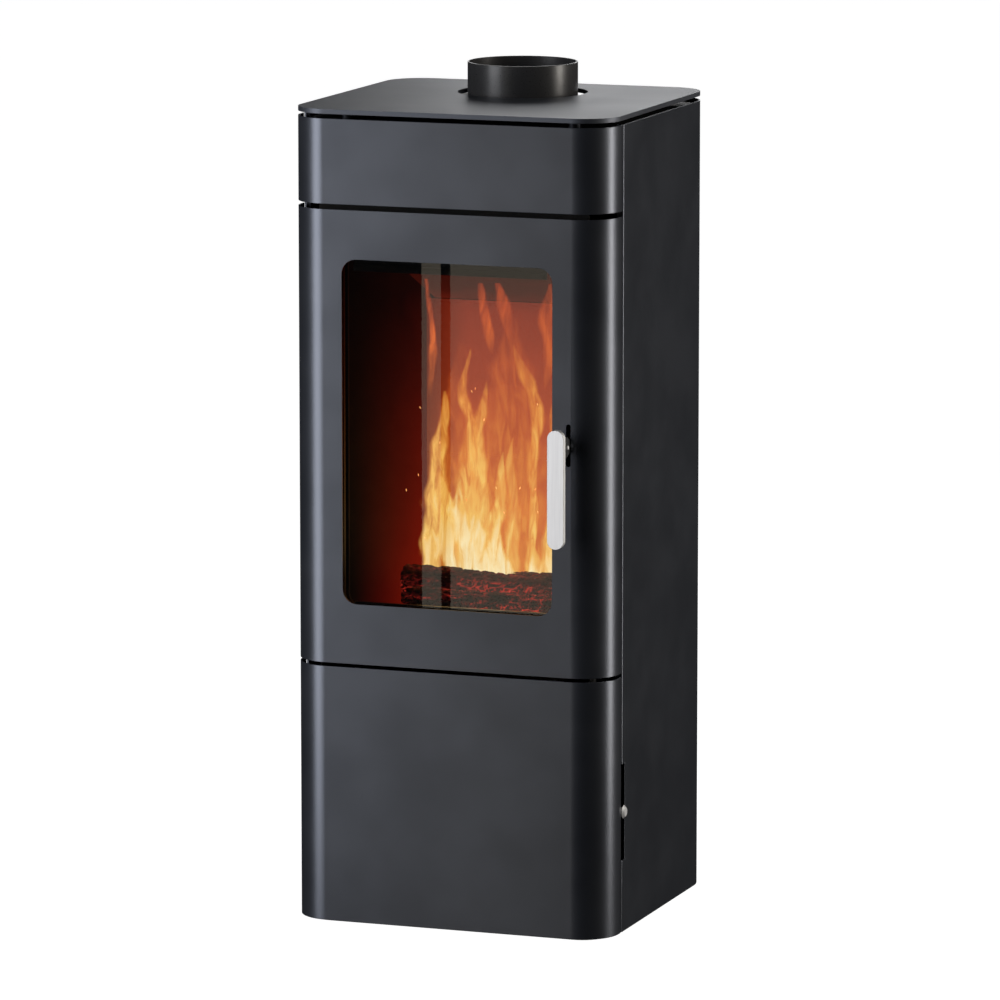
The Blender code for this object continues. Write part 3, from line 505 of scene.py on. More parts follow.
# node: material, or material and the width of its eased edge in metres
finishes = {
    "door_shell": (powderCoat, 0.0006), "fascia": (powderCoat, 0.0006),
    "lower_door_shell": (powderCoat, 0.0006), "side_panel_left": (powderCoat, 0.0006),
    "side_panel_right": (powderCoat, 0.0006), "top_plate": (plateCoat, 0),
    "glass_strip_top": (powderCoat, 0.0003), "glass_strip_bottom": (powderCoat, 0.0003),
    "flue_collar": (flueEnamel, 0), "handle_bar": (brushedSteel, 0), "latch_lever": (stovePaint, 0.0004),
    "handle_rivet": (brushedSteel, 0), "air_knob": (turnedSteel, 0), "base_plate": (stovePaint, 0.0003),
    "door_hinge_arm_1": (stovePaint, 0.0003), "door_hinge_arm_2": (stovePaint, 0.0003),
    "lower_hinge_arm_1": (stovePaint, 0.0003), "lower_hinge_arm_2": (stovePaint, 0.0003),
    "door_hinge_lug_1": (stovePaint, 0.0003), "door_hinge_lug_2": (stovePaint, 0.0003),
    "lower_hinge_lug_1": (stovePaint, 0.0003), "lower_hinge_lug_2": (stovePaint, 0.0003),
    "top_deck": stovePaint, "door_frame": (stovePaint, 0.0005), "lower_door_tray": (stovePaint, 0.0006),
    "bay_wrap": (stovePaint, 0.0004), "ash_shelf": stovePaint, "chamber_wrap": chamberPaint,
    "chamber_floor": chamberPaint, "chamber_top": chamberPaint, "chamber_front": (chamberPaint, 0.0005),
    "latch_pin": turnedSteel, "latch_striker": (turnedSteel, 0.0003),
    "magnet_strike": (galvanised, 0.0002), "magnet_catch": (polyamide, 0.0006),
    "levelling_bolt_1": (galvanised, 0.0003), "levelling_bolt_2": (galvanised, 0.0003),
    "levelling_bolt_3": (galvanised, 0.0003), "levelling_bolt_4": (galvanised, 0.0003),
    "air_valve": chamberPaint, "air_shutter": chamberPaint, "back_panel": (galvanised, 0.0002),
    "air_intake_spigot": (galvanised, 0), "ash_pan": (galvanised, 0.0003), "grate": (castIron, 0.0008),
    "lining_left": (boardSide, 0.0012), "lining_right": (boardSide, 0.0012),
    "lining_back_lower": (boardBack, 0.0012), "lining_back_upper": (boardBack, 0.0012),
    "lining_floor": (boardPlain, 0.0012), "baffle": (boardRoof, 0.0015), "door_glass": glassCeramic,
    "glass_gasket": gasketTape, "ash_bed": ashBed
}


def easedCopy(node, material, edge):    # merged copy of a CAD node, smooth where it is round
    mesh = nodes[node].data.copy()
    mesh.name = node + "_finished"
    normals = mesh.attributes.get("custom_normal")
    if normals:
        mesh.attributes.remove(normals)
    shape = bmesh.new()
    shape.from_mesh(mesh)
    bmesh.ops.remove_doubles(shape, verts=shape.verts, dist=0.000005)
    bmesh.ops.dissolve_limit(shape, angle_limit=math.radians(0.4), verts=shape.verts, edges=shape.edges)
    shape.to_mesh(mesh)
    shape.free()
    mesh.materials.clear()
    mesh.materials.append(material)
    mesh.shade_smooth()
    mesh.set_sharp_from_angle(angle=math.radians(32))
    piece = bpy.data.objects.new(node + "_finished", mesh)
    bpy.context.scene.collection.objects.link(piece)
    if edge:
        ease = piece.modifiers.new("easedEdge", "BEVEL")
        ease.width = edge
        ease.segments = 2
        ease.limit_method = "ANGLE"
        ease.angle_limit = math.radians(40)
        ease.harden_normals = True
    flat = piece.modifiers.new("flatFaces", "WEIGHTED_NORMAL")    # keeps sheet flat beside a bend
    flat.keep_sharp = True
    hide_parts(node)
    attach(piece, nodes[node]["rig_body"])
    return piece


for nodeName, finish in finishes.items():
    if isinstance(finish, tuple):
        easedCopy(nodeName, *finish)
    else:
        data = nodes[nodeName].data
        data.materials.clear()
        data.materials.append(finish)
print("parts finished:", len(finishes))


def nodeTree(name, inputs):    # a tree with its named inputs: (name, kind, value)
    tree = bpy.data.node_groups.new(name, "GeometryNodeTree")
    tree.interface.new_socket("Geometry", in_out="OUTPUT", socket_type="NodeSocketGeometry")
    for label, kind, value in inputs:
        socket = tree.interface.new_socket(label, in_out="INPUT", socket_type="NodeSocket" + kind)
        socket.default_value = value
    return tree, add(tree, "NodeGroupInput").outputs


def closeTree(tree, geometry, material):    # every tree ends the same way
    real = add(tree, "GeometryNodeRealizeInstances", {0: geometry})
    dressed = add(tree, "GeometryNodeSetMaterial", {"Material": material, "Geometry": real})
    add(tree, "NodeGroupOutput", {0: dressed})


def grow(name, tree, values, body, place=None):    # runs a tree and keeps a plain mesh
    carrier = bpy.data.objects.new(name + "Maker", bpy.data.meshes.new(name + "Maker"))
    bpy.context.scene.collection.objects.link(carrier)
    maker = carrier.modifiers.new("maker", "NODES")
    maker.node_group = tree
    for item in tree.interface.items_tree:
        if item.in_out == "INPUT" and item.name in values:
            maker[item.identifier] = values[item.name]
    bpy.context.view_layer.update()
    evaluated = carrier.evaluated_get(bpy.context.evaluated_depsgraph_get())
    mesh = bpy.data.meshes.new_from_object(evaluated)
    mesh.name = name
    if place:
        mesh.transform(place)
    carrier.modifiers.remove(maker)
    bpy.data.objects.remove(carrier)
    piece = bpy.data.objects.new(name, mesh)
    bpy.context.scene.collection.objects.link(piece)
    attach(piece, body)
    print("grown:", name, len(mesh.polygons), "faces")
    return piece


def makeLogTree():
    tree, given = nodeTree("charredLog", [
        ("Length", "Float", 0.2), ("Radius", "Float", 0.02), ("Crack Length", "Float", 0.02),
        ("Crack Width", "Float", 0.011), ("Crack Depth", "Float", 0.002), ("Swell", "Float", 0.003),
        ("Seed", "Float", 0.0)])
    stick = add(tree, "GeometryNodeMeshCylinder", {
        "Vertices": 96, "Side Segments": 110, "Fill Segments": 10, "Radius": given["Radius"],
        "Depth": given["Length"]
    }, fill_type="TRIANGLE_FAN")
    spot = add(tree, "GeometryNodeInputPosition")
    shifted = add(tree, "VectorMath", {
        0: spot, 1: add(tree, "CombineXYZ", {0: given["Seed"], 1: given["Seed"]})
    }, operation="ADD")
    cells = add(tree, "VectorMath", {
        0: shifted,
        1: add(tree, "CombineXYZ", {
            0: given["Crack Width"], 1: given["Crack Width"], 2: given["Crack Length"]
        })
    }, operation="DIVIDE")
    edges = add(tree, "TexVoronoi", {
        "Scale": 1.0, "Randomness": 0.9, "Vector": cells
    }, feature="DISTANCE_TO_EDGE")
    crest = add(tree, "MapRange", {
        "From Min": 0.0, "From Max": 0.16, "Value": edges
    }, interpolation_type="SMOOTHSTEP")
    broad = add(tree, "TexNoise", {"Scale": 22.0, "Detail": 2.0, "Vector": shifted})
    fine = add(tree, "TexNoise", {"Scale": 260.0, "Detail": 3.0, "Vector": shifted})
    lift = add(tree, "Math", {
        0: add(tree, "Math", {0: broad, 1: 0.62}, operation="SUBTRACT"),
        1: add(tree, "Math", {0: given["Swell"], 1: 3.4}, operation="MULTIPLY")
    }, operation="MULTIPLY")
    lift = add(tree, "Math", {
        0: lift,
        1: add(tree, "Math", {
            0: add(tree, "Math", {0: crest, 1: 1.0}, operation="SUBTRACT"), 1: given["Crack Depth"]
        }, operation="MULTIPLY")
    }, operation="ADD")
    lift = add(tree, "Math", {
        0: lift,
        1: add(tree, "Math", {
            0: add(tree, "Math", {0: fine, 1: 0.5}, operation="SUBTRACT"), 1: 0.0022
        }, operation="MULTIPLY")
    }, operation="ADD")
    push = add(tree, "VectorMath", {
        0: add(tree, "GeometryNodeInputNormal"), "Scale": lift
    }, operation="SCALE")
    shaped = add(tree, "GeometryNodeSetPosition", {"Geometry": stick, "Offset": push})
    marked = add(tree, "GeometryNodeStoreNamedAttribute", {
        "Name": "crack", "Geometry": shaped, "Value": crest
    }, data_type="FLOAT", domain="POINT")
    smooth = add(tree, "GeometryNodeSetShadeSmooth", {0: marked})
    closeTree(tree, smooth, charredWood)
    return tree


fuel = {
    "log_front": {"Length": 0.226, "Radius": 0.0195, "Seed": 3.1, "Crack Length": 0.017, "turn": 2},
    "log_rear": {"Length": 0.210, "Radius": 0.0215, "Seed": 7.7, "Crack Length": 0.020, "turn": -1},
    "log_top": {"Length": 0.254, "Radius": 0.0292, "Seed": 1.4, "Crack Length": 0.021, "turn": 1},
}

logTree = makeLogTree()
for logName, values in fuel.items():
    low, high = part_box(logName)
    middle = (low + high) / 2
    place = (Matrix.Translation(middle) @ Matrix.Rotation(math.radians(values["turn"]), 4, "Z")
             @ Matrix.Rotation(math.pi / 2, 4, "Y"))
    piece = grow(logName + "_charred", logTree, values, "root", place)
    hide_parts(logName)


def makeChipTree(name, material):    # lumps strewn over a rectangle
    tree, given = nodeTree(name, [
        ("Width", "Float", 0.2), ("Depth", "Float", 0.1), ("Per Square Metre", "Float", 2000.0),
        ("Smallest", "Float", 0.002), ("Largest", "Float", 0.008), ("Seed", "Int", 1)])
    field = add(tree, "GeometryNodeMeshGrid", {
        "Vertices X": 2, "Vertices Y": 2, "Size X": given["Width"], "Size Y": given["Depth"]
    })
    points = add(tree, "GeometryNodeDistributePointsOnFaces", {
        "Mesh": field, "Density": given["Per Square Metre"], "Seed": given["Seed"]
    })
    lump = add(tree, "GeometryNodeMeshIcoSphere", {"Radius": 1.0, "Subdivisions": 2})
    rough = add(tree, "TexNoise", {"Scale": 1.6, "Detail": 2.0}).outputs["Color"]
    bent = add(tree, "GeometryNodeSetPosition", {
        "Geometry": lump,
        "Offset": add(tree, "VectorMath", {1: (0.5, 0.5, 0.5), 0: rough}, operation="SUBTRACT")
    })
    size = add(
        tree, "FunctionNodeRandomValue",
        {2: given["Smallest"], 3: given["Largest"], "Seed": given["Seed"]}, data_type="FLOAT"
    ).outputs[1]
    turn = add(tree, "FunctionNodeRandomValue", {
        0: (0, 0, 0), 1: (0.5, 0.5, 6.28), "Seed": given["Seed"]
    }, data_type="FLOAT_VECTOR")
    flat = add(tree, "VectorMath", {
        1: (1.0, 0.75, 0.45), 0: add(tree, "CombineXYZ", {0: size, 1: size, 2: size})
    }, operation="MULTIPLY")
    strewn = add(tree, "GeometryNodeInstanceOnPoints", {
        "Points": points, "Instance": bent, "Rotation": turn, "Scale": flat
    })
    closeTree(tree, strewn, material)
    return tree


bedLow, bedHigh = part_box("ash_bed")
bedTop = Matrix.Translation(((bedLow.x + bedHigh.x) / 2, (bedLow.y + bedHigh.y) / 2, bedHigh.z + 0.0012))
strewnAsh = {
    "Width": 0.236, "Depth": 0.165, "Per Square Metre": 7000.0, "Smallest": 0.0015, "Largest": 0.0055,
    "Seed": 4
}
strewnEmbers = {
    "Width": 0.225, "Depth": 0.150, "Per Square Metre": 4200.0, "Smallest": 0.0014, "Largest": 0.0045,
    "Seed": 9
}
grow("ashCrumbs", makeChipTree("ashCrumbTree", ashCrust), strewnAsh, "root", bedTop)
grow("emberCrumbs", makeChipTree("emberCrumbTree", emberCrust), strewnEmbers, "root", bedTop)


def makeSparkTree():
    tree, given = nodeTree("sparks", [
        ("Width", "Float", 0.24), ("Height", "Float", 0.3), ("Count", "Int", 26), ("Size", "Float", 0.0005),
        ("Seed", "Int", 5)])
    points = add(tree, "GeometryNodePoints", {"Count": given["Count"]})
    low = add(tree, "CombineXYZ", {
        1: -0.06, 0: add(tree, "Math", {0: given["Width"], 1: -0.5}, operation="MULTIPLY")
    })
    high = add(tree, "CombineXYZ", {
        1: 0.05, 0: add(tree, "Math", {0: given["Width"], 1: 0.5}, operation="MULTIPLY"),
        2: given["Height"]
    })
    spot = add(tree, "FunctionNodeRandomValue", {
        0: low, 1: high, "Seed": given["Seed"]
    }, data_type="FLOAT_VECTOR")
    placed = add(tree, "GeometryNodeSetPosition", {"Geometry": points, "Position": spot})
    speck = add(tree, "GeometryNodeMeshIcoSphere", {"Subdivisions": 1, "Radius": given["Size"]})
    lean = add(tree, "FunctionNodeRandomValue", {
        0: (-0.5, -0.5, 0), 1: (0.5, 0.5, 1), "Seed": given["Seed"]
    }, data_type="FLOAT_VECTOR")
    strewn = add(tree, "GeometryNodeInstanceOnPoints", {
        "Scale": (1.0, 1.0, 3.6), "Points": placed, "Instance": speck, "Rotation": lean
    })
    closeTree(tree, strewn, glowingChar)
    return tree


sparkField = {"Width": 0.25, "Height": 0.22, "Count": 24, "Size": 0.0006, "Seed": 11}
grow("flyingSparks", makeSparkTree(), sparkField, "root", Matrix.Translation((0, 0, 0.49)))


def makeRopeTree():    # three strands twisted round a rounded rectangle
    coil, yarnHalf = 0.23, 0.27    # shares of the rope: how far out a strand runs, and its radius
    tree, given = nodeTree("twistedRope", [
        ("Width", "Float", 0.3), ("Height", "Float", 0.5), ("Corner", "Float", 0.015),
        ("Rope Width", "Float", 0.01), ("Rope Depth", "Float", 0.009), ("Lay", "Float", 0.026),
        ("Strands", "Int", 3)
    ])
    box = add(tree, "GeometryNodeCurvePrimitiveQuadrilateral", {
        "Width": given["Width"], "Height": given["Height"]
    })
    soft = add(tree, "GeometryNodeFilletCurve", {
        "Count": 8, "Curve": box, "Radius": given["Corner"]
    }, mode="POLY")
    even = add(tree, "GeometryNodeResampleCurve", {"Count": 620, "Curve": soft}, mode="COUNT")
    ends = add(tree, "GeometryNodePoints", {"Count": given["Strands"]})
    copies = add(tree, "GeometryNodeInstanceOnPoints", {"Points": ends, "Instance": even})
    numbered = add(tree, "GeometryNodeStoreNamedAttribute", {
        "Name": "strand", "Geometry": copies, "Value": add(tree, "GeometryNodeInputIndex")
    }, data_type="INT", domain="INSTANCE")
    loose = add(tree, "GeometryNodeRealizeInstances", {0: numbered})
    strand = add(tree, "GeometryNodeInputNamedAttribute", {"Name": "strand"}, data_type="INT")
    along = add(tree, "GeometryNodeSplineParameter").outputs
    total = add(tree, "GeometryNodeSplineLength")
    turns = add(tree, "Math", {
        0: add(tree, "Math", {0: total, 1: given["Lay"]}, operation="DIVIDE")
    }, operation="ROUND")
    angle = add(tree, "Math", {
        0: add(tree, "Math", {0: along["Factor"], 1: turns}, operation="MULTIPLY"), 1: 2 * math.pi
    }, operation="MULTIPLY")
    share = add(tree, "Math", {
        0: add(tree, "Math", {0: strand, 1: 2 * math.pi}, operation="MULTIPLY"), 1: given["Strands"]
    }, operation="DIVIDE")
    angle = add(tree, "Math", {0: angle, 1: share}, operation="ADD")
    across = add(tree, "VectorMath", {
        1: (0, 0, 1), 0: add(tree, "GeometryNodeInputTangent")
    }, operation="CROSS_PRODUCT")
    side = add(tree, "VectorMath", {
        0: across,
        "Scale": add(tree, "Math", {
            0: add(tree, "Math", {0: angle}, operation="COSINE"),
            1: add(tree, "Math", {0: given["Rope Width"], 1: coil}, operation="MULTIPLY")
        }, operation="MULTIPLY")
    }, operation="SCALE")
    up = add(tree, "CombineXYZ", {
        2: add(tree, "Math", {
            0: add(tree, "Math", {0: angle}, operation="SINE"),
            1: add(tree, "Math", {0: given["Rope Depth"], 1: coil}, operation="MULTIPLY")
        }, operation="MULTIPLY")
    })
    offset = add(tree, "VectorMath", {0: side, 1: up}, operation="ADD")
    coiled = add(tree, "GeometryNodeSetPosition", {"Geometry": loose, "Offset": offset})
    yarn = add(tree, "GeometryNodeCurvePrimitiveCircle", {
        "Resolution": 10,
        "Radius": add(tree, "Math", {0: given["Rope Depth"], 1: yarnHalf}, operation="MULTIPLY")
    })
    tube = add(tree, "GeometryNodeCurveToMesh", {0: coiled, 1: yarn})
    smooth = add(tree, "GeometryNodeSetShadeSmooth", {0: tube})
    closeTree(tree, smooth, sealRope)
    return tree


ropeLow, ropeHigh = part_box("door_rope_seal")
ropeWidth = 0.0100
rope = {
    "Width": ropeHigh.x - ropeLow.x - ropeWidth, "Height": ropeHigh.z - ropeLow.z - ropeWidth,
    "Corner": 0.015, "Rope Width": ropeWidth, "Rope Depth": ropeHigh.y - ropeLow.y, "Lay": 0.026,
    "Strands": 3
}
ropePlace = Matrix.Translation((ropeLow + ropeHigh) / 2) @ Matrix.Rotation(math.pi / 2, 4, "X")
ropePiece = grow("doorSealRope", makeRopeTree(), rope, "fire_door", ropePlace)
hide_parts("door_rope_seal")


def makeScrewTree():    # pan-head screws in two upright rows
    tree, given = nodeTree("panelScrews", [
        ("Rows Apart", "Float", 0.34), ("Height", "Float", 1.0), ("Per Row", "Int", 6),
        ("Head", "Float", 0.0034)
    ])
    step = add(tree, "Math", {
        0: given["Height"], 1: add(tree, "Math", {0: given["Per Row"], 1: 1}, operation="SUBTRACT")
    }, operation="DIVIDE")
    row = add(tree, "GeometryNodeMeshLine", {
        "Count": given["Per Row"], "Offset": add(tree, "CombineXYZ", {2: step})
    })
    pair = add(tree, "GeometryNodeMeshLine", {
        "Count": 2,
        "Start Location": add(tree, "CombineXYZ", {
            0: add(tree, "Math", {0: given["Rows Apart"], 1: -0.5}, operation="MULTIPLY")
        }),
        "Offset": add(tree, "CombineXYZ", {0: given["Rows Apart"]})
    })
    head = add(tree, "GeometryNodeMeshUVSphere", {"Segments": 24, "Rings": 12, "Radius": given["Head"]})
    pan = add(tree, "GeometryNodeTransform", {"Scale": (1.0, 1.0, 0.5), "Geometry": head})
    arms = []
    for size in ((0.0042, 0.0009, 0.0030), (0.0009, 0.0042, 0.0030)):
        bar = add(tree, "GeometryNodeMeshCube", {"Size": size})
        arms.append(add(tree, "GeometryNodeTransform", {
            "Translation": (0, 0, 0.0022), "Geometry": bar
        }).outputs[0])
    under = add(tree, "GeometryNodeTransform", {
        "Translation": (0, 0, -0.0050),
        "Geometry": add(tree, "GeometryNodeMeshCube", {"Size": (0.01, 0.01, 0.01)})
    })
    carve = add(tree, "GeometryNodeMeshBoolean", {"Mesh 1": pan}, operation="DIFFERENCE", solver="EXACT")
    for cutter in (arms[0], arms[1], under.outputs[0]):
        tree.links.new(cutter, carve.inputs["Mesh 2"])
    stood = add(tree, "GeometryNodeTransform", {"Rotation": (-math.pi / 2, 0, 0), "Geometry": carve})
    column = add(tree, "GeometryNodeInstanceOnPoints", {"Points": row, "Instance": stood})
    rows = add(tree, "GeometryNodeInstanceOnPoints", {"Points": pair, "Instance": column})
    closeTree(tree, rows, galvanised)
    return tree


panelLow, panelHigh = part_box("side_panel_right")
lapMiddle = panelLow.x + 0.005
screws = {"Rows Apart": 2 * lapMiddle, "Height": 0.98, "Per Row": 6, "Head": 0.0034}
grow("panelScrewHeads", makeScrewTree(), screws, "root",
     Matrix.Translation((0, panelHigh.y, panelLow.z + 0.050)))


# a tongue: points up its middle as (x, z, half width), then heat at its root and tip, and body
fireLayers = {
    "frontFire": (
        -0.022,
        [
            (
                [
                    (-0.062, 0.450, 0.012), (-0.064, 0.500, 0.018), (-0.074, 0.550, 0.013),
                    (-0.082, 0.595, 0.002)
                ],
                1.0, 0.66, 1.0
            ),
            (
                [
                    (-0.045, 0.450, 0.016), (-0.040, 0.490, 0.020), (-0.050, 0.540, 0.013),
                    (-0.053, 0.585, 0.002)
                ],
                1.0, 0.80, 1.0
            ),
            (
                [
                    (-0.020, 0.450, 0.016), (-0.018, 0.500, 0.015), (-0.030, 0.550, 0.011),
                    (-0.036, 0.610, 0.002)
                ],
                1.0, 0.70, 1.0
            ),
            (
                [
                    (0.002, 0.450, 0.015), (-0.004, 0.500, 0.013), (0.008, 0.560, 0.011),
                    (0.012, 0.625, 0.002)
                ],
                1.0, 0.66, 1.0
            ),
            ([(0.024, 0.450, 0.013), (0.014, 0.485, 0.011), (0.004, 0.530, 0.002)], 1.0, 0.80, 1.0),
            ([(0.056, 0.450, 0.012), (0.060, 0.480, 0.009), (0.056, 0.510, 0.002)], 0.98, 0.72, 0.9),
            (
                [
                    (0.084, 0.450, 0.016), (0.078, 0.500, 0.014), (0.086, 0.560, 0.010),
                    (0.082, 0.625, 0.002)
                ],
                0.95, 0.6, 0.9
            )
        ]
    ),
    "middleFire": (
        0.022,
        [
            (
                [
                    (-0.104, 0.445, 0.018), (-0.100, 0.530, 0.019), (-0.098, 0.600, 0.015),
                    (-0.090, 0.660, 0.009), (-0.086, 0.700, 0.002)
                ],
                0.84, 0.60, 0.80
            ),
            (
                [
                    (-0.056, 0.445, 0.020), (-0.052, 0.520, 0.018), (-0.060, 0.590, 0.014),
                    (-0.052, 0.650, 0.010), (-0.060, 0.705, 0.007), (-0.050, 0.760, 0.001)
                ],
                0.84, 0.56, 0.80
            ),
            (
                [
                    (-0.032, 0.445, 0.017), (-0.034, 0.530, 0.015), (-0.044, 0.600, 0.013),
                    (-0.038, 0.660, 0.009), (-0.030, 0.715, 0.002)
                ],
                0.86, 0.56, 0.72
            ),
            (
                [
                    (0.006, 0.445, 0.014), (0.010, 0.520, 0.011), (0.002, 0.590, 0.008),
                    (0.008, 0.640, 0.001)
                ],
                0.84, 0.6, 0.6
            ),
            (
                [
                    (0.034, 0.445, 0.010), (0.040, 0.520, 0.008), (0.034, 0.590, 0.008),
                    (0.042, 0.660, 0.011), (0.032, 0.715, 0.013), (0.012, 0.765, 0.002)
                ],
                0.80, 0.54, 0.72
            ),
            (
                [
                    (0.066, 0.445, 0.012), (0.066, 0.520, 0.008), (0.072, 0.590, 0.007),
                    (0.066, 0.660, 0.005), (0.070, 0.700, 0.001)
                ],
                0.82, 0.54, 0.6
            ),
            (
                [
                    (0.106, 0.445, 0.014), (0.102, 0.530, 0.010), (0.110, 0.610, 0.007),
                    (0.104, 0.680, 0.001)
                ],
                0.84, 0.5, 0.6
            )
        ]
    ),
    "rearFire": (
        0.062,
        [
            (
                [
                    (-0.126, 0.680, 0.003), (-0.118, 0.740, 0.006), (-0.124, 0.800, 0.004),
                    (-0.132, 0.885, 0.001)
                ],
                0.50, 0.22, 0.8
            ),
            (
                [
                    (-0.034, 0.745, 0.004), (-0.040, 0.780, 0.010), (-0.052, 0.818, 0.008),
                    (-0.060, 0.850, 0.001)
                ],
                0.40, 0.24, 0.7
            ),
            (
                [
                    (-0.004, 0.765, 0.004), (-0.014, 0.798, 0.012), (-0.024, 0.830, 0.010),
                    (-0.032, 0.853, 0.001)
                ],
                0.36, 0.22, 0.6
            ),
            (
                [
                    (0.044, 0.700, 0.003), (0.054, 0.750, 0.010), (0.046, 0.805, 0.013),
                    (0.052, 0.853, 0.001)
                ],
                0.44, 0.26, 0.6
            ),
            (
                [
                    (-0.020, 0.445, 0.070), (-0.022, 0.560, 0.076), (-0.012, 0.650, 0.062),
                    (-0.004, 0.740, 0.030), (0.000, 0.800, 0.006)
                ],
                0.66, 0.30, 0.40
            ),
            (
                [
                    (-0.092, 0.445, 0.040), (-0.096, 0.560, 0.036), (-0.088, 0.660, 0.026),
                    (-0.080, 0.760, 0.006)
                ],
                0.62, 0.30, 0.36
            ),
            (
                [
                    (0.080, 0.445, 0.046), (0.082, 0.560, 0.036), (0.078, 0.660, 0.024),
                    (0.086, 0.760, 0.006)
                ],
                0.62, 0.30, 0.32
            )
        ]
    )
}
fireSheet = {"half": 0.142, "bottom": 0.444, "top": 0.900, "step": 0.0020, "wave": 0.007, "seed": 6}


def alongPoints(points, t):    # smooth place on a run of points
    last = len(points) - 1
    at = min(t * last, last - 1e-6)
    i = int(at)
    f = at - i
    a, b, c, d = (points[max(0, min(last, i + k))] for k in (-1, 0, 1, 2))
    return [0.5 * (2 * b[n] + (c[n] - a[n]) * f + (2 * a[n] - 5 * b[n] + 4 * c[n] - d[n]) * f * f
                   + (3 * b[n] - a[n] - 3 * c[n] + d[n]) * f ** 3) for n in range(3)]


def tongueRows(points, heights, dice):    # middle and half width of one tongue at every height
    phases = [dice.uniform(0, 6.28) for _ in range(3)]
    steps = 240
    samples = [(k / steps, alongPoints(points, k / steps)) for k in range(steps + 1)]
    rows = []
    k = 0
    for z in heights:
        if z < samples[0][1][1] or z > samples[-1][1][1]:
            rows.append(None)
            continue
        while k < steps - 1 and samples[k + 1][1][1] < z:
            k += 1
        t, (x, _, half) = samples[k]
        sway = 0.0030 * t * math.sin(52 * z + phases[0])
        ragged = 1 + 0.13 * math.sin(95 * z + phases[1]) + 0.07 * math.sin(180 * z + phases[2])
        rows.append((t, x + sway, max(half * ragged, 0.0012)))
    return rows


def makeFireSheet(name, depth, tongues, dice):    # one wavy sheet, kept only where there is flame
    step, half = fireSheet["step"], fireSheet["half"]
    across = int(2 * half / step) + 1
    rows = int((fireSheet["top"] - fireSheet["bottom"]) / step) + 1
    heights = [fireSheet["bottom"] + step * row for row in range(rows)]
    laid = []
    for points, root, tip, body in tongues:    # a lick that starts in mid-air fades in
        fade = 0.05 if points[0][1] < 0.5 else 0.4
        laid.append((tongueRows(points, heights, dice), root, tip, body, fade))
    corners, heats, bodies = [], [], []
    for r, z in enumerate(heights):
        here = [(rows[r], *rest) for rows, *rest in laid if rows[r]]
        for c in range(across):
            x = -half + c * step
            clear, weight, warmth = 1.0, 0.0, 0.0
            for (t, middle, wide), root, tip, body, fade in here:
                s = abs(x - middle) / wide
                if s >= 1:
                    continue
                shape = min(1.0, 1.5 * (1 - s * s)) ** 1.3
                thick = body * shape * min(1.0, t / fade) * (1 - t * t) ** 0.5
                heat = (root + (tip - root) * t) * (0.86 + 0.14 * shape)
                clear *= 1 - thick
                weight += thick ** 2
                warmth += heat * thick ** 2
            corners.append((
                x, depth + fireSheet["wave"] * (math.sin(31 * x + 60 * depth) + math.sin(23 * z)), z
            ))
            heats.append(warmth / weight if weight > 0 else 0.0)
            bodies.append(1 - clear)
    faces = []
    for r in range(len(heights) - 1):
        for c in range(across - 1):
            a = r * across + c
            quad = (a, a + 1, a + across + 1, a + across)
            if max(bodies[i] for i in quad) > 0.004:
                faces.append(quad)
    mesh = bpy.data.meshes.new(name)
    mesh.from_pydata(corners, [], faces)
    for label, values in (("fireHeat", heats), ("fireBody", bodies)):
        layer = mesh.attributes.new(label, "FLOAT", "POINT")
        layer.data.foreach_set("value", values)
    shape = bmesh.new()
    shape.from_mesh(mesh)
    bmesh.ops.delete(shape, geom=[v for v in shape.verts if not v.link_faces], context="VERTS")
    shape.to_mesh(mesh)
    shape.free()
    mesh.materials.append(burningGas)
    mesh.shade_smooth()
    piece = bpy.data.objects.new(name, mesh)
    bpy.context.scene.collection.objects.link(piece)
    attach(piece, "root")
    print("flame sheet:", name, len(mesh.polygons), "faces")


fireDice = random.Random(fireSheet["seed"])
for layerName, (layerDepth, layerTongues) in fireLayers.items():
    makeFireSheet(layerName, layerDepth, layerTongues, fireDice)


studio = {
    "floorTone": "#ffffff", "floorGlow": 1.0, "backdrop": "#ffffff", "backdropGlow": 1.05,
    "ambient": 0.013,
    "cameraPlace": (3.1793, -8.8190, 2.0930), "cameraPitch": 9.3191, "cameraTurn": 19.8333, "lens": 251.8,
}
# name: bearing from the front, distance, height, width, tall, strength, colour
softboxes = {
    "leftSoftbox": (-42.5, 2.6, 1.15, 1.05, 3.1, 6.7, "#fafbff"),
    "rightStrip": (104, 2.5, 1.12, 0.60, 2.8, 11.0, "#fff9f0"),
    "rearSoftbox": (184.6, 3.0, 2.15, 1.95, 1.3, 2.85, "#ffffff"),
}


def areaLight(name, place, aim, width, tall, radiance, colour):
    data = bpy.data.lights.new(name, "AREA")
    data.shape = "RECTANGLE"
    data.size = width
    data.size_y = tall
    data.energy = radiance * math.pi * width * tall
    data.color = linear(colour)[:3]
    lamp = bpy.data.objects.new(name, data)
    lamp.location = place
    lamp.rotation_euler = (Vector(aim) - Vector(place)).to_track_quat("-Z", "Y").to_euler()
    lamp.visible_camera = False
    lamp.visible_transmission = False    # the chamber is lit by its own fire
    bpy.context.scene.collection.objects.link(lamp)
    return lamp


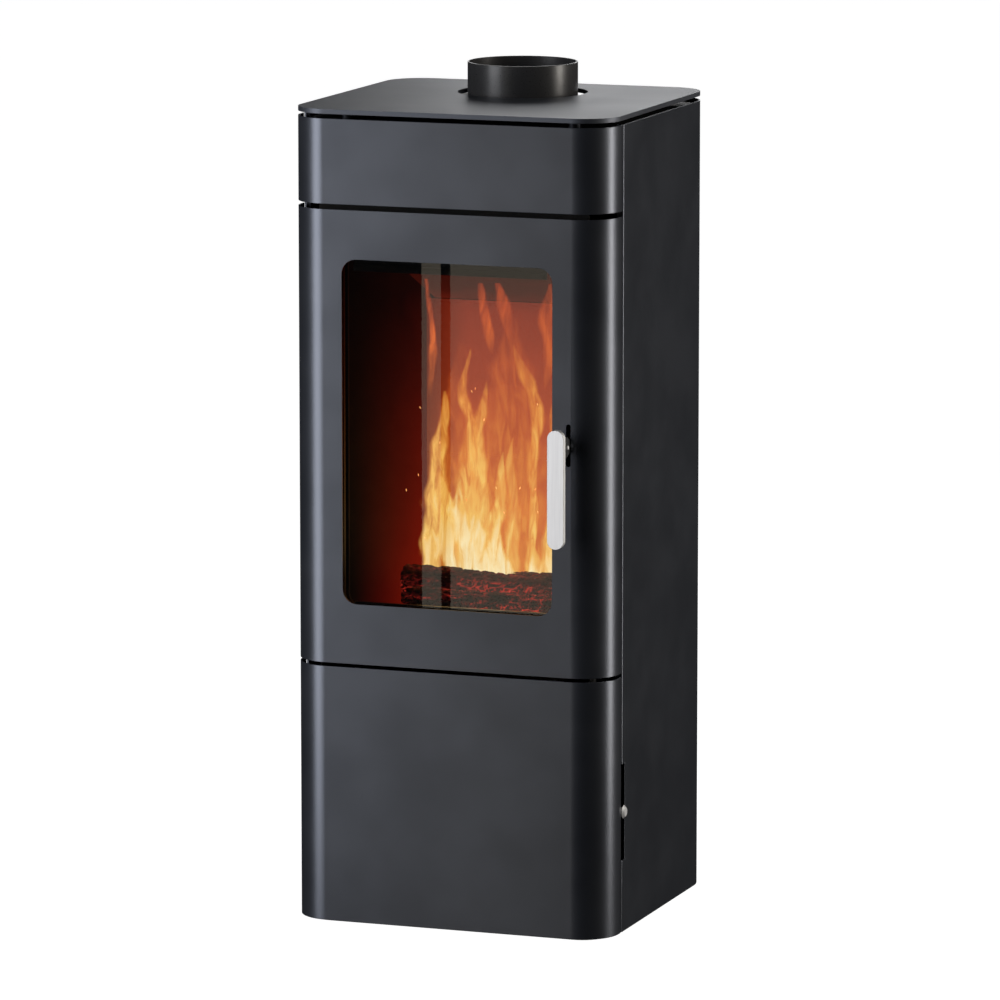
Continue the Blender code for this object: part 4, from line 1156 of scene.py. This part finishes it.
def makeStudio():
    scene = bpy.context.scene
    world = bpy.data.worlds.new("paleStudio")
    world.use_nodes = True
    scene.world = world
    tree = world.node_tree
    tree.nodes.clear()
    seen = add(tree, "LightPath").outputs["Is Camera Ray"]
    dim = add(tree, "Background", {"Color": linear("#dfe6f2"), "Strength": studio["ambient"]})
    bright = add(tree, "Background", {
        "Color": linear(studio["backdrop"]), "Strength": studio["backdropGlow"]
    })
    mixed = add(tree, "MixShader", {0: seen, 1: dim, 2: bright})
    add(tree, "OutputWorld", {0: mixed})

    mesh = bpy.data.meshes.new("studioFloor")
    reach = 40
    mesh.from_pydata(
        [(-reach, -reach, 0), (reach, -reach, 0), (reach, reach, 0), (-reach, reach, 0)], [],
        [(0, 1, 2, 3)]
    )
    floor = bpy.data.objects.new("studioFloor", mesh)
    scene.collection.objects.link(floor)
    paper, tree = newMaterial("paleFloor")[:2]
    surface(tree, {
        "Base Color": linear("#8c8c8c"), "Roughness": 0.9, "Emission Color": linear(studio["floorTone"]),
        "Emission Strength": studio["floorGlow"]
    })
    mesh.materials.append(paper)
    floor.visible_glossy = False
    floor.visible_diffuse = False
    floor.visible_shadow = False
    floor.visible_transmission = False

    windowOnly = bpy.data.collections.new("windowOnly")
    windowOnly.objects.link(nodes["door_glass"])
    for name, (bearing, far, high, width, tall, radiance, colour) in softboxes.items():
        turn = math.radians(bearing)
        place = (far * math.sin(turn), -far * math.cos(turn), high)
        aim = (0, 0, high if name != "rearSoftbox" else 1.0)
        lamp = areaLight(name, place, aim, width, tall, radiance, colour)
        if name == "leftSoftbox":    # kept out of the window, so that the fire shows
            lamp.light_linking.receiver_collection = windowOnly

    for member in windowOnly.collection_objects:
        member.light_linking.link_state = "EXCLUDE"

    # two upright cards for the glass to mirror
    for name, left, right in (("narrowCard", -0.706, -0.673), ("wideCard", -0.657, -0.40)):
        card = areaLight(name, ((left + right) / 2, -2.0, 0.35), ((left + right) / 2, 0, 0.35),
                         right - left, 2.2, 0.96, "#fff2da")
        card.visible_diffuse = False

    # the fire's own light
    for name, place, power, colour in (("fireLow", (-0.02, -0.01, 0.53), 0.7, "#ff8a4a"),
                                       ("fireHigh", (0.0, 0.03, 0.66), 0.3, "#ff6a34")):
        data = bpy.data.lights.new(name, "POINT")
        data.energy = power
        data.color = linear(colour)[:3]
        data.shadow_soft_size = 0.05
        lamp = bpy.data.objects.new(name, data)
        lamp.location = place
        lamp.visible_camera = False
        lamp.visible_glossy = False
        lamp.visible_transmission = False
        scene.collection.objects.link(lamp)

    data = bpy.data.cameras.new("studioCamera")
    data.lens = studio["lens"]
    data.sensor_width = 36
    camera = bpy.data.objects.new("studioCamera", data)
    camera.location = studio["cameraPlace"]
    camera.rotation_euler = (math.radians(90 - studio["cameraPitch"]), 0, math.radians(studio["cameraTurn"]))
    scene.collection.objects.link(camera)
    scene.camera = camera
    scene.view_settings.view_transform = "Standard"
    scene.view_settings.look = "None"


makeStudio()
print("studio set")
